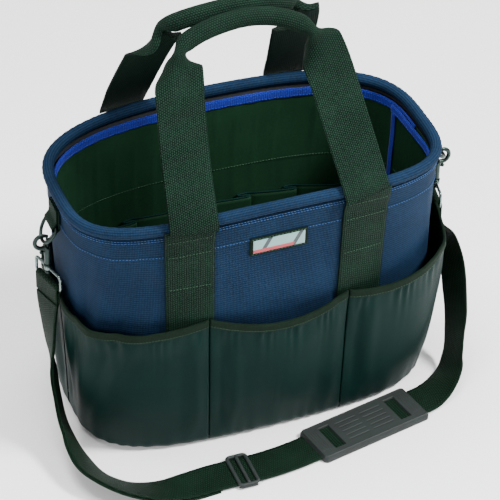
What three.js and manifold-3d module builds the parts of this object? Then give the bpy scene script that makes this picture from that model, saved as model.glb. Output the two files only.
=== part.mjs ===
// Garden tool bag: an oval, open-topped canvas bag on a flat board, with a padded rim, a drop-in
// lining, six outer pockets, two webbing carry handles and a shoulder strap on two bolt-snap hooks.
// Millimetres. +Z up, +X to the bag's right, -Y to its front. Origin: middle of the base, on the floor.

import * as THREE from 'three';
import { mergeVertices } from 'three/addons/utils/BufferGeometryUtils.js';
import Module from 'manifold-3d';

const wasm = await Module();
wasm.setup();

// ---- driving dimensions ---------------------------------------------------------------------------

const gap = 0.4; // clearance between pieces that touch on the real bag

const bag = {
  rimHeight: 290, // centre of the padded rim, at the middle of the long sides
  rimDroop: 12, // how much lower the rim is at the two ends
  halfLengthTop: 195.5, // outer canvas, just below the rim
  halfLengthBase: 184,
  halfDepthTop: 104.5,
  halfDepthBase: 95,
  squareness: 3.3, // exponent of the oval plan: 2 is an ellipse, more is squarer
  edgeRadius: 22, // rounding of the bottom edge
  segments: 44, // facets round the oval
};

const wall = { canvas: 1.6, stiffener: 2.4, lining: 1.0 };
const base = { panel: 1.6, board: 3.0, panelOffset: 1, boardOffset: -10 };
const rim = { radius: 6, wall: 1.2, coreRadius: 4.2, offset: -2.5, slitAngle: 0.16 };
const binding = { top: 280.5, height: 11, thickness: 1.0 };
const webbing = { width: 48, thickness: 2.0 };
const pocket = { low: 2.4, thickness: 1.4, standoff: 3.9, tape: 9, tapeThickness: 0.8 };
const grip = { coreRadius: 5, fold: 0.93, lean: 31.5 };
const hinge = { y: 111.5, z: 290.3 };
const strapSize = { width: 38, thickness: 1.6 };
const hook = {
  eyeRadius: 7.6, wire: 2.2, boltX: 5.2, boltRadius: 1.6, shankRadius: 3.6, shankLow: -31.5, shankHigh: -8.2,
  boreRadius: 2.1, boreLow: -25, springLow: -24.6, springHigh: -15.4, boltHigh: 3.4, neckRadius: 1.6,
};
const ring = { halfWidth: 14.5, straight: 7, wire: 1.8, corner: 3 };
const bail = { halfWidth: 20.8, drop: 17, wire: 1.5, corner: 3.5, bossRadius: 4.2 };

// Where the hardware hangs at each end: which side of the bag, how far along Y, and the height of
// the D-ring's straight bar. The bail is turned about the hook's shank.
const ends = {
  left: { side: -1, y: 1, barZ: 246, swing: 31, bailTurn: 15 },
  right: { side: 1, y: -8, barZ: 249, swing: 48, bailTurn: -10 },
};

// ---- materials ------------------------------------------------------------------------------------

const finish = (color, roughness, metalness) =>
  new THREE.MeshStandardMaterial({ color, roughness, metalness });
const canvas = finish(0x24426b, 0.9, 0);
const nylon = finish(0x16302b, 0.55, 0);
const liningCloth = finish(0x16301f, 0.6, 0);
const tape = finish(0x2040c0, 0.7, 0);
const strapWeb = finish(0x1c3324, 0.85, 0);
const foam = finish(0x50545a, 0.95, 0);
const board = finish(0x303436, 0.6, 0);
const steel = finish(0x4a5a58, 0.4, 0.9);
const rubber = finish(0x1d3a36, 0.6, 0);
const badge = finish(0x6f8f8f, 0.5, 0);

// ---- geometry helpers -----------------------------------------------------------------------------

const model = new THREE.Group();

function addMesh(name, geometry, material, parent = model) {
  const mesh = new THREE.Mesh(geometry, material);
  mesh.name = name;
  parent.add(mesh);
  return mesh;
}

// Keeps only welded positions, as a closed solid needs.
function weld(geometry) {
  const plain = geometry.clone();
  plain.deleteAttribute('normal');
  plain.deleteAttribute('uv');
  return mergeVertices(plain, 1e-3);
}

// Moves every vertex of a closed geometry through a mapping and turns its faces outwards again.
function bend(geometry, map) {
  const solid = weld(geometry);
  const position = solid.getAttribute('position');
  for (let i = 0; i < position.count; i += 1) {
    const p = map(position.getX(i), position.getY(i), position.getZ(i));
    position.setXYZ(i, p.x, p.y, p.z);
  }
  const index = solid.getIndex();
  const a = new THREE.Vector3();
  const b = new THREE.Vector3();
  const c = new THREE.Vector3();
  let volume = 0;
  for (let i = 0; i < index.count; i += 3) {
    a.fromBufferAttribute(position, index.getX(i));
    b.fromBufferAttribute(position, index.getX(i + 1));
    c.fromBufferAttribute(position, index.getX(i + 2));
    volume += a.dot(b.cross(c));
  }
  if (volume < 0) {
    for (let i = 0; i < index.count; i += 3) {
      const first = index.getX(i);
      index.setX(i, index.getX(i + 1));
      index.setX(i + 1, first);
    }
  }
  solid.computeVertexNormals();
  return solid;
}

// A thin rectangular bar, bent: u and v run 0..1 along its first and last side, t is the thickness.
function bentStrip(thickness, uSteps, vSteps, map) {
  const bar = new THREE.BoxGeometry(1, thickness, 1, uSteps, 1, vSteps);
  return bend(bar, (x, y, z) => map(x + 0.5, y + thickness / 2, z + 0.5));
}

// A closed ring of round wire along a flat loop: point(turn) gives the loop in the local XY plane.
function wireLoop(point, wire, steps, sides) {
  const loop = new THREE.TorusGeometry(100, wire, sides, steps);
  return bend(loop, (x, y, z) => {
    const turn = (Math.atan2(y, x) / (2 * Math.PI) + 1) % 1;
    const out = Math.hypot(x, y) - 100;
    const here = point(turn);
    const ahead = point((turn + 0.002) % 1);
    const behind = point((turn + 0.998) % 1);
    const along = ahead.clone().sub(behind).normalize();
    return new THREE.Vector3(here.x + along.y * out, here.y - along.x * out, z);
  });
}

// Even-speed walk round a closed outline of straight runs and corner arcs.
function loopOf(shape) {
  return (turn) => shape.getPointAt(Math.min(Math.max(turn, 0), 1));
}

// Round bar along an open curve.
function roundBar(points, radius, steps, sides) {
  const circle = new THREE.Shape();
  for (let i = 0; i < sides; i += 1) {
    const angle = (2 * Math.PI * i) / sides;
    const x = radius * Math.cos(angle);
    const y = radius * Math.sin(angle);
    if (i === 0) circle.moveTo(x, y);
    else circle.lineTo(x, y);
  }
  const path = new THREE.CatmullRomCurve3(points.map((p) => new THREE.Vector3(...p)));
  const options = { steps, extrudePath: path, bevelEnabled: false };
  return new THREE.ExtrudeGeometry(circle, options);
}

// Upright round bar between two heights.
function post(radius, low, high, sides, x = 0, y = 0) {
  const geometry = new THREE.CylinderGeometry(radius, radius, high - low, sides);
  geometry.rotateX(Math.PI / 2);
  geometry.translate(x, y, (low + high) / 2);
  return geometry;
}

function toSolid(geometry) {
  const clean = bend(geometry, (x, y, z) => new THREE.Vector3(x, y, z));
  const vertProperties = new Float32Array(clean.getAttribute('position').array);
  const triVerts = new Uint32Array(clean.getIndex().array);
  return new wasm.Manifold(new wasm.Mesh({ numProp: 3, vertProperties, triVerts }));
}

function fromSolid(solid) {
  const mesh = solid.getMesh();
  const geometry = new THREE.BufferGeometry();
  geometry.setAttribute('position', new THREE.BufferAttribute(new Float32Array(mesh.vertProperties), 3));
  geometry.setIndex(new THREE.BufferAttribute(new Uint32Array(mesh.triVerts), 1));
  geometry.computeVertexNormals();
  return geometry;
}

const box = (x0, x1, y0, y1, z0, z1) => {
  const geometry = new THREE.BoxGeometry(x1 - x0, y1 - y0, z1 - z0);
  geometry.translate((x0 + x1) / 2, (y0 + y1) / 2, (z0 + z1) / 2);
  return geometry;
};

// ---- the oval plan --------------------------------------------------------------------------------

const lerp = THREE.MathUtils.lerp;
const clamp01 = (value) => Math.min(Math.max(value, 0), 1);
const signedPower = (value, power) => Math.sign(value) * Math.abs(value) ** power;

function halfSizes(z) {
  const rise = z / bag.rimHeight;
  return {
    a: lerp(bag.halfLengthBase, bag.halfLengthTop, rise),
    b: lerp(bag.halfDepthBase, bag.halfDepthTop, rise),
  };
}

function ovalPoint(angle, a, b) {
  const power = 2 / bag.squareness;
  return [-a * signedPower(Math.cos(angle), power), -b * signedPower(Math.sin(angle), power)];
}

// Fraction of the way round the oval against its angle, so that steps along the wall are even.
const ovalSamples = 1440;
const ovalLengths = [0];
for (let i = 1; i <= ovalSamples; i += 1) {
  const { a, b } = halfSizes(bag.rimHeight / 2);
  const [x0, y0] = ovalPoint((2 * Math.PI * (i - 1)) / ovalSamples, a, b);
  const [x1, y1] = ovalPoint((2 * Math.PI * i) / ovalSamples, a, b);
  ovalLengths.push(ovalLengths[i - 1] + Math.hypot(x1 - x0, y1 - y0));
}

function angleAt(turn) {
  const whole = ((turn % 1) + 1) % 1;
  const target = whole * ovalLengths[ovalSamples];
  let low = 0;
  let high = ovalSamples;
  while (high - low > 1) {
    const middle = (low + high) >> 1;
    if (ovalLengths[middle] <= target) low = middle;
    else high = middle;
  }
  const part = (target - ovalLengths[low]) / (ovalLengths[high] - ovalLengths[low]);
  return (2 * Math.PI * (low + part)) / ovalSamples;
}

// Turn (0 left end, 0.25 front, 0.5 right end, 0.75 rear) of the front wall at a given x.
function frontTurn(x) {
  let low = 0;
  let high = 0.5;
  const { a, b } = halfSizes(bag.rimHeight / 2);
  for (let i = 0; i < 40; i += 1) {
    const middle = (low + high) / 2;
    if (ovalPoint(angleAt(middle), a, b)[0] < x) low = middle;
    else high = middle;
  }
  return (low + high) / 2;
}

// A point at a turn, a height and a distance outside the canvas face. The whole wall follows the
// rim's droop towards the ends, and the bottom edge is rounded.
function wallPoint(turn, z, offset) {
  const { a, b } = halfSizes(z);
  const [x, y] = ovalPoint(angleAt(turn), a, b);
  const n = bag.squareness;
  const normal = new THREE.Vector2(
    signedPower(x / a, n - 1) / a,
    signedPower(y / b, n - 1) / b,
  ).normalize();
  const r = bag.edgeRadius;
  const inset = z < r ? r - Math.sqrt(Math.max(r * r - (r - z) ** 2, 0)) : 0;
  const out = offset - inset;
  const droop = bag.rimDroop * (x / a) ** 2 * clamp01(z / bag.rimHeight) ** 3;
  return new THREE.Vector3(x + normal.x * out, y + normal.y * out, z - droop);
}

// A closed band round the whole bag. The profile lists [offset, z]; [null, z] is a point on the axis.
function ovalRing(profile) {
  const far = 1000;
  const points = profile.map(([out, z]) => new THREE.Vector2(out === null ? 0 : far + out, z));
  if (profile[0][0] !== null) points.push(points[0].clone());
  const lathe = new THREE.LatheGeometry(points, bag.segments);
  return bend(lathe, (x, y, z) => {
    const radius = Math.hypot(x, z);
    if (radius < far / 2) return new THREE.Vector3(0, 0, y);
    const turn = (Math.atan2(x, z) / (2 * Math.PI) + 1) % 1;
    return wallPoint(turn, y, radius - far);
  });
}

// A thin wall between two offsets, through the given heights.
function ovalWall(outer, inner, heights) {
  const up = heights.map((z) => [outer, z]);
  const down = [...heights].reverse().map((z) => [inner, z]);
  return ovalRing([...up, ...down]);
}

const wallTop = bag.rimHeight - 6.6;
const stiffenerOut = -wall.canvas - gap;
const liningOut = stiffenerOut - wall.stiffener - gap;
const liningIn = liningOut - wall.lining;

// ---- base, walls, rim and lining --------------------------------------------------------------------

function plate(low, thickness, offset) {
  return ovalRing([[null, low], [offset, low], [offset, low + thickness], [null, low + thickness]]);
}

const boardLow = base.panel + gap;
const liningLow = boardLow + base.board + gap;

function buildShell() {
  addMesh('base_panel', plate(0, base.panel, base.panelOffset), nylon);
  addMesh('base_board', plate(boardLow, base.board, base.boardOffset), board);
  const shellHeights = [2.4, 6, 12, 22, 90, 190, wallTop];
  addMesh('outer_shell', ovalWall(0, -wall.canvas, shellHeights), canvas);
  const stiffenerHeights = [23, 90, 190, wallTop - 0.6];
  addMesh('wall_stiffener', ovalWall(stiffenerOut, stiffenerOut - wall.stiffener, stiffenerHeights), foam);
}

function buildRim() {
  const circle = (radius, count, start, sweep) =>
    Array.from({ length: count }, (_, i) => {
      const angle = start + (sweep * i) / (count - 1);
      return [rim.offset + radius * Math.cos(angle), bag.rimHeight + radius * Math.sin(angle)];
    });
  const start = -Math.PI / 2 + rim.slitAngle;
  const sweep = 2 * Math.PI - 2 * rim.slitAngle;
  const outer = circle(rim.radius, 9, start, sweep);
  const inner = circle(rim.radius - rim.wall, 9, start, sweep).reverse();
  addMesh('rim_roll', ovalRing([...outer, ...inner]), canvas);
  addMesh('rim_core', ovalRing(circle(rim.coreRadius, 7, 0, 2 * Math.PI).slice(0, 6)), foam);
}

const seamTurn = 1 - frontTurn(186); // drop-in lining's seam, on the right end towards the rear

function buildLining() {
  const top = binding.top - 1.5;
  addMesh('lining', ovalRing([
    [null, liningLow], [liningOut - 8, liningLow], [liningOut - 1.5, liningLow + 6], [liningOut, 30], [liningOut, top],
    [liningIn, top], [liningIn, 30], [liningIn - 1.5, liningLow + 7], [liningIn - 8, liningLow + 1], [null, liningLow + 1],
  ]), liningCloth);

  // The tape overlaps itself on the right end: the last stretch stands off the wall.
  const bindStart = 0.5;
  const bindTurns = 1.045;
  const lap = 0.9;
  addMesh('lining_binding', bentStrip(binding.thickness, 1, 46, (u, t, v) => {
    const standOff = 4 * THREE.MathUtils.smoothstep(v, lap, 0.975);
    const z = binding.top - binding.height * (1 - u);
    return wallPoint(bindStart + bindTurns * v, z, liningIn - gap - t - standOff);
  }), tape);

  const seamHalf = 0.0035;
  addMesh('lining_seam_tape', bentStrip(0.8, 6, 1, (u, t, v) => {
    const z = lerp(30, binding.top - binding.height - 2, u);
    return wallPoint(seamTurn + seamHalf * (2 * v - 1), z, liningIn - 3 * gap - t);
  }), tape);
}

// Pleated strips of small pockets on the long inner walls, with a corded top edge.
function buildInnerPockets(name, turnOf) {
  const top = 158;
  const low = 34;
  const seams = [-150, -93, -30, 36, 88, 150];
  const turns = seams.map(turnOf);
  const bulge = (v) => {
    const cell = v * (seams.length - 1);
    return 10 * Math.abs(Math.sin(Math.PI * cell)) ** 0.6;
  };
  const turnAt = (v) => {
    const cell = Math.min(Math.floor(v * (seams.length - 1)), seams.length - 2);
    return lerp(turns[cell], turns[cell + 1], v * (seams.length - 1) - cell);
  };
  const stand = (u, v) => liningIn - 4 * gap - bulge(v) * clamp01(u * 1.6) ** 0.7;
  addMesh(name, bentStrip(1.0, 4, 30, (u, t, v) =>
    wallPoint(turnAt(v), lerp(low, top, u), stand(u, v) - t)), liningCloth);
  addMesh(`${name}_piping`, bentStrip(2.0, 1, 30, (u, t, v) =>
    wallPoint(turnAt(v), top + gap + 2 * u, stand(1, v) - t + 0.4)), nylon);
}

// ---- outer pockets --------------------------------------------------------------------------------

// Each pocket: how far along the front its two seams are, the height of its mouth at both seams,
// how its mouth sags or climbs, and how far it stands off the bag.
const pockets = [
  { name: 'left', from: 0, to: frontTurn(-73), z0: 166, z1: 169, sag: 3, climb: 1, bulge: 9 },
  { name: 'middle', from: frontTurn(-73), to: frontTurn(75), z0: 169, z1: 165, sag: 14, climb: 1, bulge: 9 },
  { name: 'right', from: frontTurn(75), to: 0.5, z0: 165, z1: 204, sag: 8, climb: 1.5, bulge: 13 },
];

function pocketMouth(p, v) {
  return lerp(p.z0, p.z1, v ** p.climb) - p.sag * Math.sin(Math.PI * v);
}

function pocketOffset(p, z, v) {
  const h = clamp01((z - pocket.low) / (pocketMouth(p, v) - pocket.low));
  const across = Math.abs(Math.sin(Math.PI * v)) ** 0.7;
  const upward = Math.sin((Math.PI / 2) * clamp01(h * 1.25)) ** 0.8;
  return pocket.standoff + p.bulge * across * upward;
}

function buildPockets(face) {
  for (const p of pockets) {
    const width = p.to - p.from;
    const seamGap = 0.0007;
    const turnAt = (v) => {
      const turn = p.from + seamGap + (width - 2 * seamGap) * v;
      return face === 'front' ? turn : 1 - turn;
    };
    const name = `${face}_pocket_${p.name}`;
    addMesh(name, bentStrip(pocket.thickness, 6, 9, (u, t, v) => {
      const z = lerp(pocket.low, pocketMouth(p, v), u ** 1.6);
      return wallPoint(turnAt(v), z, pocketOffset(p, z, v) + t);
    }), nylon);
    addMesh(`${name}_binding`, bentStrip(pocket.tapeThickness, 1, 9, (u, t, v) => {
      const z = pocketMouth(p, v) - pocket.tape * (1 - u);
      const out = pocketOffset(p, z, v) + pocket.thickness + gap + t;
      return wallPoint(turnAt(v), z, out);
    }), strapWeb);
  }
}

// ---- carry handles --------------------------------------------------------------------------------

// Centre line of one handle in its own leaning plane: [x, distance up the plane from the rim].
const handleRoute = [
  [-91, 0], [-88.5, 55], [-84, 110], [-80, 140], [-76.5, 158], [-70, 172], [-56, 181], [-34, 185.5], [-8, 187.5],
  [16, 185], [36, 178.5], [51, 170], [60, 160], [65, 146], [70, 124], [78, 68], [87.5, 0],
];

// How far the strap is folded round its core: 0 flat on the legs, 1 closed on the grip.
function foldAt(v) {
  const start = 0.275;
  const end = 0.35;
  const enter = THREE.MathUtils.smoothstep(v, start, end);
  const leave = THREE.MathUtils.smoothstep(1 - v, start, end);
  return Math.min(enter, leave);
}

function handleFrame(curve, v) {
  const here = curve.getPointAt(clamp01(v));
  const along = curve.getTangentAt(clamp01(v));
  return { here, along };
}

// Local handle space: x along the bag, y up the leaning plane, z out of the plane, away from the bag.
function buildHandle(name, facing) {
  const curve = new THREE.CatmullRomCurve3(handleRoute.map(([x, s]) => new THREE.Vector3(x, s, 0)));
  const steps = 30;
  const lean = THREE.MathUtils.degToRad(grip.lean);
  const place = (p) => {
    const y = -(hinge.y - 2.5) + p.y * Math.sin(lean) - p.z * Math.cos(lean);
    const z = hinge.z + 0.7 + p.y * Math.cos(lean) + p.z * Math.sin(lean);
    return new THREE.Vector3(p.x, facing * y, z);
  };
  addMesh(`${name}_webbing`, bend(new THREE.BoxGeometry(1, 1, 1, 8, 1, steps), (x, y, z) => {
    const v = z + 0.5;
    const { here, along } = handleFrame(curve, v);
    const across = new THREE.Vector3(along.y, -along.x, 0);
    const fold = Math.max(foldAt(v), 0.001);
    const angle = 2 * Math.PI * grip.fold * fold;
    const radius = webbing.width / angle;
    const turn = x * angle;
    const r = radius + y * webbing.thickness;
    const centre = radius * 0.5 * (1 - Math.cos(angle / 2)) - radius;
    const p = here.clone().addScaledVector(across, r * Math.sin(turn));
    p.z = r * Math.cos(turn) + centre;
    return place(p);
  }), strapWeb);

  // The core fills the folded part only.
  const coreFrom = 0.37;
  const coreSpan = 1 - 2 * coreFrom;
  const sides = 6;
  const core = new THREE.CylinderGeometry(1, 1, 1, sides, 14);
  addMesh(`${name}_grip_core`, bend(core, (x, y, z) => {
    const { here, along } = handleFrame(curve, coreFrom + coreSpan * (y + 0.5));
    const across = new THREE.Vector3(along.y, -along.x, 0);
    const p = here.clone().addScaledVector(across, x * grip.coreRadius);
    p.z = z * grip.coreRadius;
    return place(p);
  }), foam);
}

// The strap's two ends run down the outside of the canvas, behind the pockets.
function buildHandleTails(face) {
  const middles = { left: -91, right: 87.5 };
  const heights = [26, 70, 170, 258, 270, 280, 289];
  const over = rim.offset + rim.radius + gap;
  for (const [side, x] of Object.entries(middles)) {
    const from = frontTurn(x - webbing.width / 2);
    const to = frontTurn(x + webbing.width / 2);
    addMesh(`${face}_handle_tail_${side}`, bentStrip(webbing.thickness, heights.length - 1, 2, (u, t, v) => {
      const z = heights[Math.round(u * (heights.length - 1))];
      const rise = THREE.MathUtils.smoothstep(z, 256, 284);
      const turn = lerp(from, to, v);
      return wallPoint(face === 'front' ? turn : 1 - turn, z, lerp(gap, over, rise) + t);
    }), strapWeb);
  }
}

// ---- badge ----------------------------------------------------------------------------------------

function buildBadge() {
  const badgeCentre = { x: -2, z: 248 };
  const patchAt = (halfWidth, halfHeight, thickness, lift) =>
    bentStrip(thickness, 1, 2, (u, t, v) => {
      const turn = frontTurn(badgeCentre.x + halfWidth * (2 * v - 1));
      return wallPoint(turn, badgeCentre.z + halfHeight * (2 * u - 1), lift + t);
    });
  addMesh('badge_patch', patchAt(29.5, 10.5, 1.0, gap), strapWeb);
  addMesh('badge_face', patchAt(26.5, 7.8, 0.6, gap + 1.0 + gap), badge);
}

// ---- end hardware ---------------------------------------------------------------------------------

function roundedLoop(left, right, low, high, radius) {
  const shape = new THREE.Path();
  shape.moveTo(0, high);
  shape.lineTo(left + radius, high);
  shape.absarc(left + radius, high - radius, radius, Math.PI / 2, Math.PI, false);
  shape.lineTo(left, low + radius);
  shape.absarc(left + radius, low + radius, radius, Math.PI, 1.5 * Math.PI, false);
  shape.lineTo(right - radius, low);
  shape.absarc(right - radius, low + radius, radius, -Math.PI / 2, 0, false);
  shape.lineTo(right, high - radius);
  shape.absarc(right - radius, high - radius, radius, 0, Math.PI / 2, false);
  shape.lineTo(0, high);
  return shape;
}

function dShape() {
  const { halfWidth, straight, corner } = ring;
  const shape = new THREE.Path();
  shape.moveTo(0, 0);
  shape.lineTo(-halfWidth + corner, 0);
  shape.absarc(-halfWidth + corner, -corner, corner, Math.PI / 2, Math.PI, false);
  shape.lineTo(-halfWidth, -straight);
  shape.absarc(0, -straight, halfWidth, Math.PI, 2 * Math.PI, false);
  shape.lineTo(halfWidth, -corner);
  shape.absarc(halfWidth - corner, -corner, corner, 0, Math.PI / 2, false);
  shape.lineTo(0, 0);
  return shape;
}

// A webbing loop in side view: a flat doubled strap with a round eye at one end, as wide as asked.
function eyeLoop(eyeRadius, thickness, length, width) {
  const outer = eyeRadius + thickness;
  const shape = new THREE.Shape();
  shape.moveTo(-outer + 2 * thickness + gap, length);
  shape.lineTo(-outer, length);
  shape.lineTo(-outer, 0);
  shape.absarc(0, 0, outer, Math.PI, 2.3 * Math.PI, false);
  const hole = new THREE.Path();
  hole.absarc(0, 0, eyeRadius, 0, 2 * Math.PI, true);
  shape.holes.push(hole);
  const solid = new THREE.ExtrudeGeometry(shape, { depth: width, bevelEnabled: false, curveSegments: 6 });
  solid.translate(0, 0, -width / 2);
  return solid;
}

// Frames for one end: +X points away from the bag, and the hardware hangs in the XZ plane.
function buildEnd(name, end) {
  const holder = new THREE.Group();
  const tab = { eye: ring.wire + 0.8, thickness: 1.8, width: 25, top: 22 };
  const wallX = -wallPoint(0, end.barZ + tab.top + bag.rimDroop, 0).x;
  const barX = wallX + gap + tab.eye + tab.thickness;
  holder.position.set(end.side * barX, end.y, end.barZ);
  if (end.side < 0) holder.rotation.z = Math.PI;
  model.add(holder);

  const loop = eyeLoop(tab.eye, tab.thickness, tab.top, tab.width);
  loop.rotateX(Math.PI / 2);
  addMesh(`${name}_ring_tab`, loop, strapWeb, holder);

  // The D-ring leans out, because the hook under it rests against the bag.
  const swing = THREE.MathUtils.degToRad(end.swing);
  const dRing = wireLoop(loopOf(dShape()), ring.wire, 22, 6);
  dRing.rotateX(Math.PI / 2);
  dRing.rotateZ(Math.PI / 2);
  dRing.rotateY(-swing);
  addMesh(`${name}_d_ring`, dRing, steel, holder);

  const ringDrop = ring.straight + ring.halfWidth;
  const hang = new THREE.Group();
  const seat = hook.eyeRadius - hook.wire - ring.wire - gap;
  hang.position.set(ringDrop * Math.sin(swing), 0, -ringDrop * Math.cos(swing) - seat);
  holder.add(hang);
  buildHook(name, hang);
  buildBail(name, hang, end);
}

// Bolt-snap hook. Local frame: origin at the eye's centre; the shank is on the bag's side, at -X.
function buildHook(name, parent) {
  const x = -hook.boltX;
  const arc = [];
  const r = hook.eyeRadius;
  for (let degrees = -112; degrees <= 122; degrees += 18) {
    const angle = THREE.MathUtils.degToRad(degrees);
    arc.push([r * Math.cos(angle), 0, r * Math.sin(angle)]);
  }
  const crook = toSolid(roundBar([[x, 0, -12], [x + 1.2, 0, -9], ...arc, [x - 0.4, 0, 5.6]], hook.wire, 20, 6));
  const shank = toSolid(post(hook.shankRadius, hook.shankLow + 4, hook.shankHigh, 10, x));
  const neck = toSolid(post(hook.neckRadius, hook.shankLow - 6, hook.shankLow + 4.4, 8, x));
  const foot = toSolid(post(3.2, hook.shankLow - 8, hook.shankLow - 5.6, 8, x));
  const bore = toSolid(post(hook.boreRadius, hook.boreLow, 4.2, 10, x));
  const slot = toSolid(box(x - 1.5, x + 12, -1.5, 1.5, -23, -4));
  const gate = toSolid(box(x - 6, x + 2.4, -4, 4, -8.2, 4.2));
  const body = crook.add(shank).subtract(bore).subtract(gate).subtract(slot).add(neck).add(foot);
  addMesh(`${name}_hook_body`, fromSolid(body), steel, parent);

  const rod = toSolid(post(hook.boltRadius, hook.springHigh + gap, hook.boltHigh, 8, x));
  const stem = toSolid(box(x, x + 5.4, -1.0, 1.0, -13.5, -11.5));
  const thumb = toSolid(new THREE.SphereGeometry(2.1, 8, 6).translate(x + 6.6, 0, -12.5));
  addMesh(`${name}_hook_bolt`, fromSolid(rod.add(stem).add(thumb)), steel, parent);

  const coil = [[1.1, hook.springLow], [1.8, hook.springLow], [1.8, hook.springHigh], [1.1, hook.springHigh]];
  const profile = [...coil, coil[0]].map(([radius, z]) => new THREE.Vector2(radius, z));
  const spring = bend(new THREE.LatheGeometry(profile, 8), (u, v, w) => new THREE.Vector3(u + x, w, v));
  addMesh(`${name}_bolt_spring`, spring, steel, parent);
}

// Wire bail that turns on the hook's neck, with the strap's looped end on its lower bar.
function buildBail(name, parent, end) {
  const swivel = new THREE.Group();
  const barZ = hook.shankLow - 1.2;
  swivel.position.set(-hook.boltX, 0, barZ);
  swivel.rotation.z = THREE.MathUtils.degToRad(end.bailTurn);
  parent.add(swivel);

  const w = bail.halfWidth + bail.wire;
  const frame = wireLoop(loopOf(roundedLoop(-w, w, -bail.drop, 0, bail.corner)), bail.wire, 32, 6);
  frame.rotateX(Math.PI / 2);
  frame.rotateZ(Math.PI / 2);
  const boss = post(bail.bossRadius, -2.2, 2.2, 10);
  const eye = post(hook.neckRadius + 0.5, -4, 4, 10);
  const body = toSolid(frame).add(toSolid(boss)).subtract(toSolid(eye));
  addMesh(`${name}_swivel_bail`, fromSolid(body), steel, swivel);

  const loop = eyeLoop(bail.wire + 0.5, strapSize.thickness, 16, strapSize.width);
  loop.rotateX(-Math.PI / 2);
  loop.rotateZ(Math.PI);
  loop.translate(0, 0, -bail.drop);
  addMesh(`${name}_strap_loop`, loop, strapWeb, swivel);
}

// ---- shoulder strap -------------------------------------------------------------------------------

// Route of the strap's middle line from the left bail over the floor to the right bail. Each row is
// a point and the direction of the strap's width there.
const strapRoute = [
  { at: [-207.5, 0.5, 156.6], across: [0.26, -0.97, 0] },
  { at: [-208.2, -0.8, 146], across: [0.2, -0.98, 0] },
  { at: [-209.2, -5, 128], across: [0.07, -1, 0] },
  { at: [-210.3, -13, 102], across: [-0.1, -1, 0] },
  { at: [-211.2, -24, 78], across: [-0.27, -0.95, -0.05] },
  { at: [-211.4, -36, 53], across: [-0.45, -0.87, 0.05] },
  { at: [-210.8, -49, 32], across: [-0.62, -0.68, 0.3] },
  { at: [-208.2, -66, 20], across: [-0.75, -0.42, 0.48] },
  { at: [-205.8, -87, 14.6], across: [-0.76, -0.28, 0.6] },
  { at: [-201.5, -110, 13], across: [-0.72, -0.33, 0.6] },
  { at: [-192, -128, 12.6], across: [-0.6, -0.55, 0.58] },
  { at: [-176, -144, 10.8], across: [-0.45, -0.75, 0.48] },
  { at: [-157, -153, 8], across: [-0.22, -0.9, 0.33] },
  { at: [-136, -157, 5], across: [-0.05, -0.98, 0.16] },
  { at: [-112, -155.5, 3], across: [0.05, -1, 0.03] },
  { at: [-88, -153.6, 2.6], across: [0.02, -1, 0] },
  { at: [-70, -153.5, 2.8], across: [0, -1, 0] },
  { at: [-40, -153.5, 2.8], across: [0, -1, 0] },
  { at: [-14, -151.8, 2.8], across: [0.12, -0.99, 0] },
  { at: [16, -147.2, 2.9], across: [0.2, -0.98, 0] },
  { at: [88, -131.9, 2.9], across: [0.21, -0.98, 0] },
  { at: [156, -117.5, 2.9], across: [0.23, -0.97, 0] },
  { at: [174, -111.5, 4], across: [0.36, -0.93, 0.08] },
  { at: [189.5, -102, 7.6], across: [0.36, -0.85, 0.28] },
  { at: [201, -92, 12.5], across: [0.3, -0.83, 0.42] },
  { at: [207.5, -83.5, 19], across: [0.2, -0.84, 0.48] },
  { at: [212, -77, 28], across: [0.13, -0.87, 0.47] },
  { at: [216.5, -67.5, 43], across: [0.13, -0.92, 0.35] },
  { at: [220.3, -58.9, 63], across: [0.2, -0.96, 0.17] },
  { at: [222, -49.5, 82], across: [0.25, -0.97, 0.04] },
  { at: [223.3, -40, 102], across: [0.27, -0.96, 0] },
  { at: [223.3, -29, 121], across: [0.25, -0.97, 0] },
  { at: [221.3, -18.8, 140], across: [0.12, -0.99, 0] },
  { at: [216.4, -11.4, 152], across: [-0.08, -1, 0] },
  { at: [213.2, -8.6, 161.4], across: [-0.17, -0.98, 0] },
];

function strapFrame(centres, widths, v) {
  const here = centres.getPoint(v);
  const along = centres.getTangent(v);
  const across = widths.getPoint(v);
  across.addScaledVector(along, -across.dot(along)).normalize();
  return { here, across, up: new THREE.Vector3().crossVectors(across, along) };
}

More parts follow.
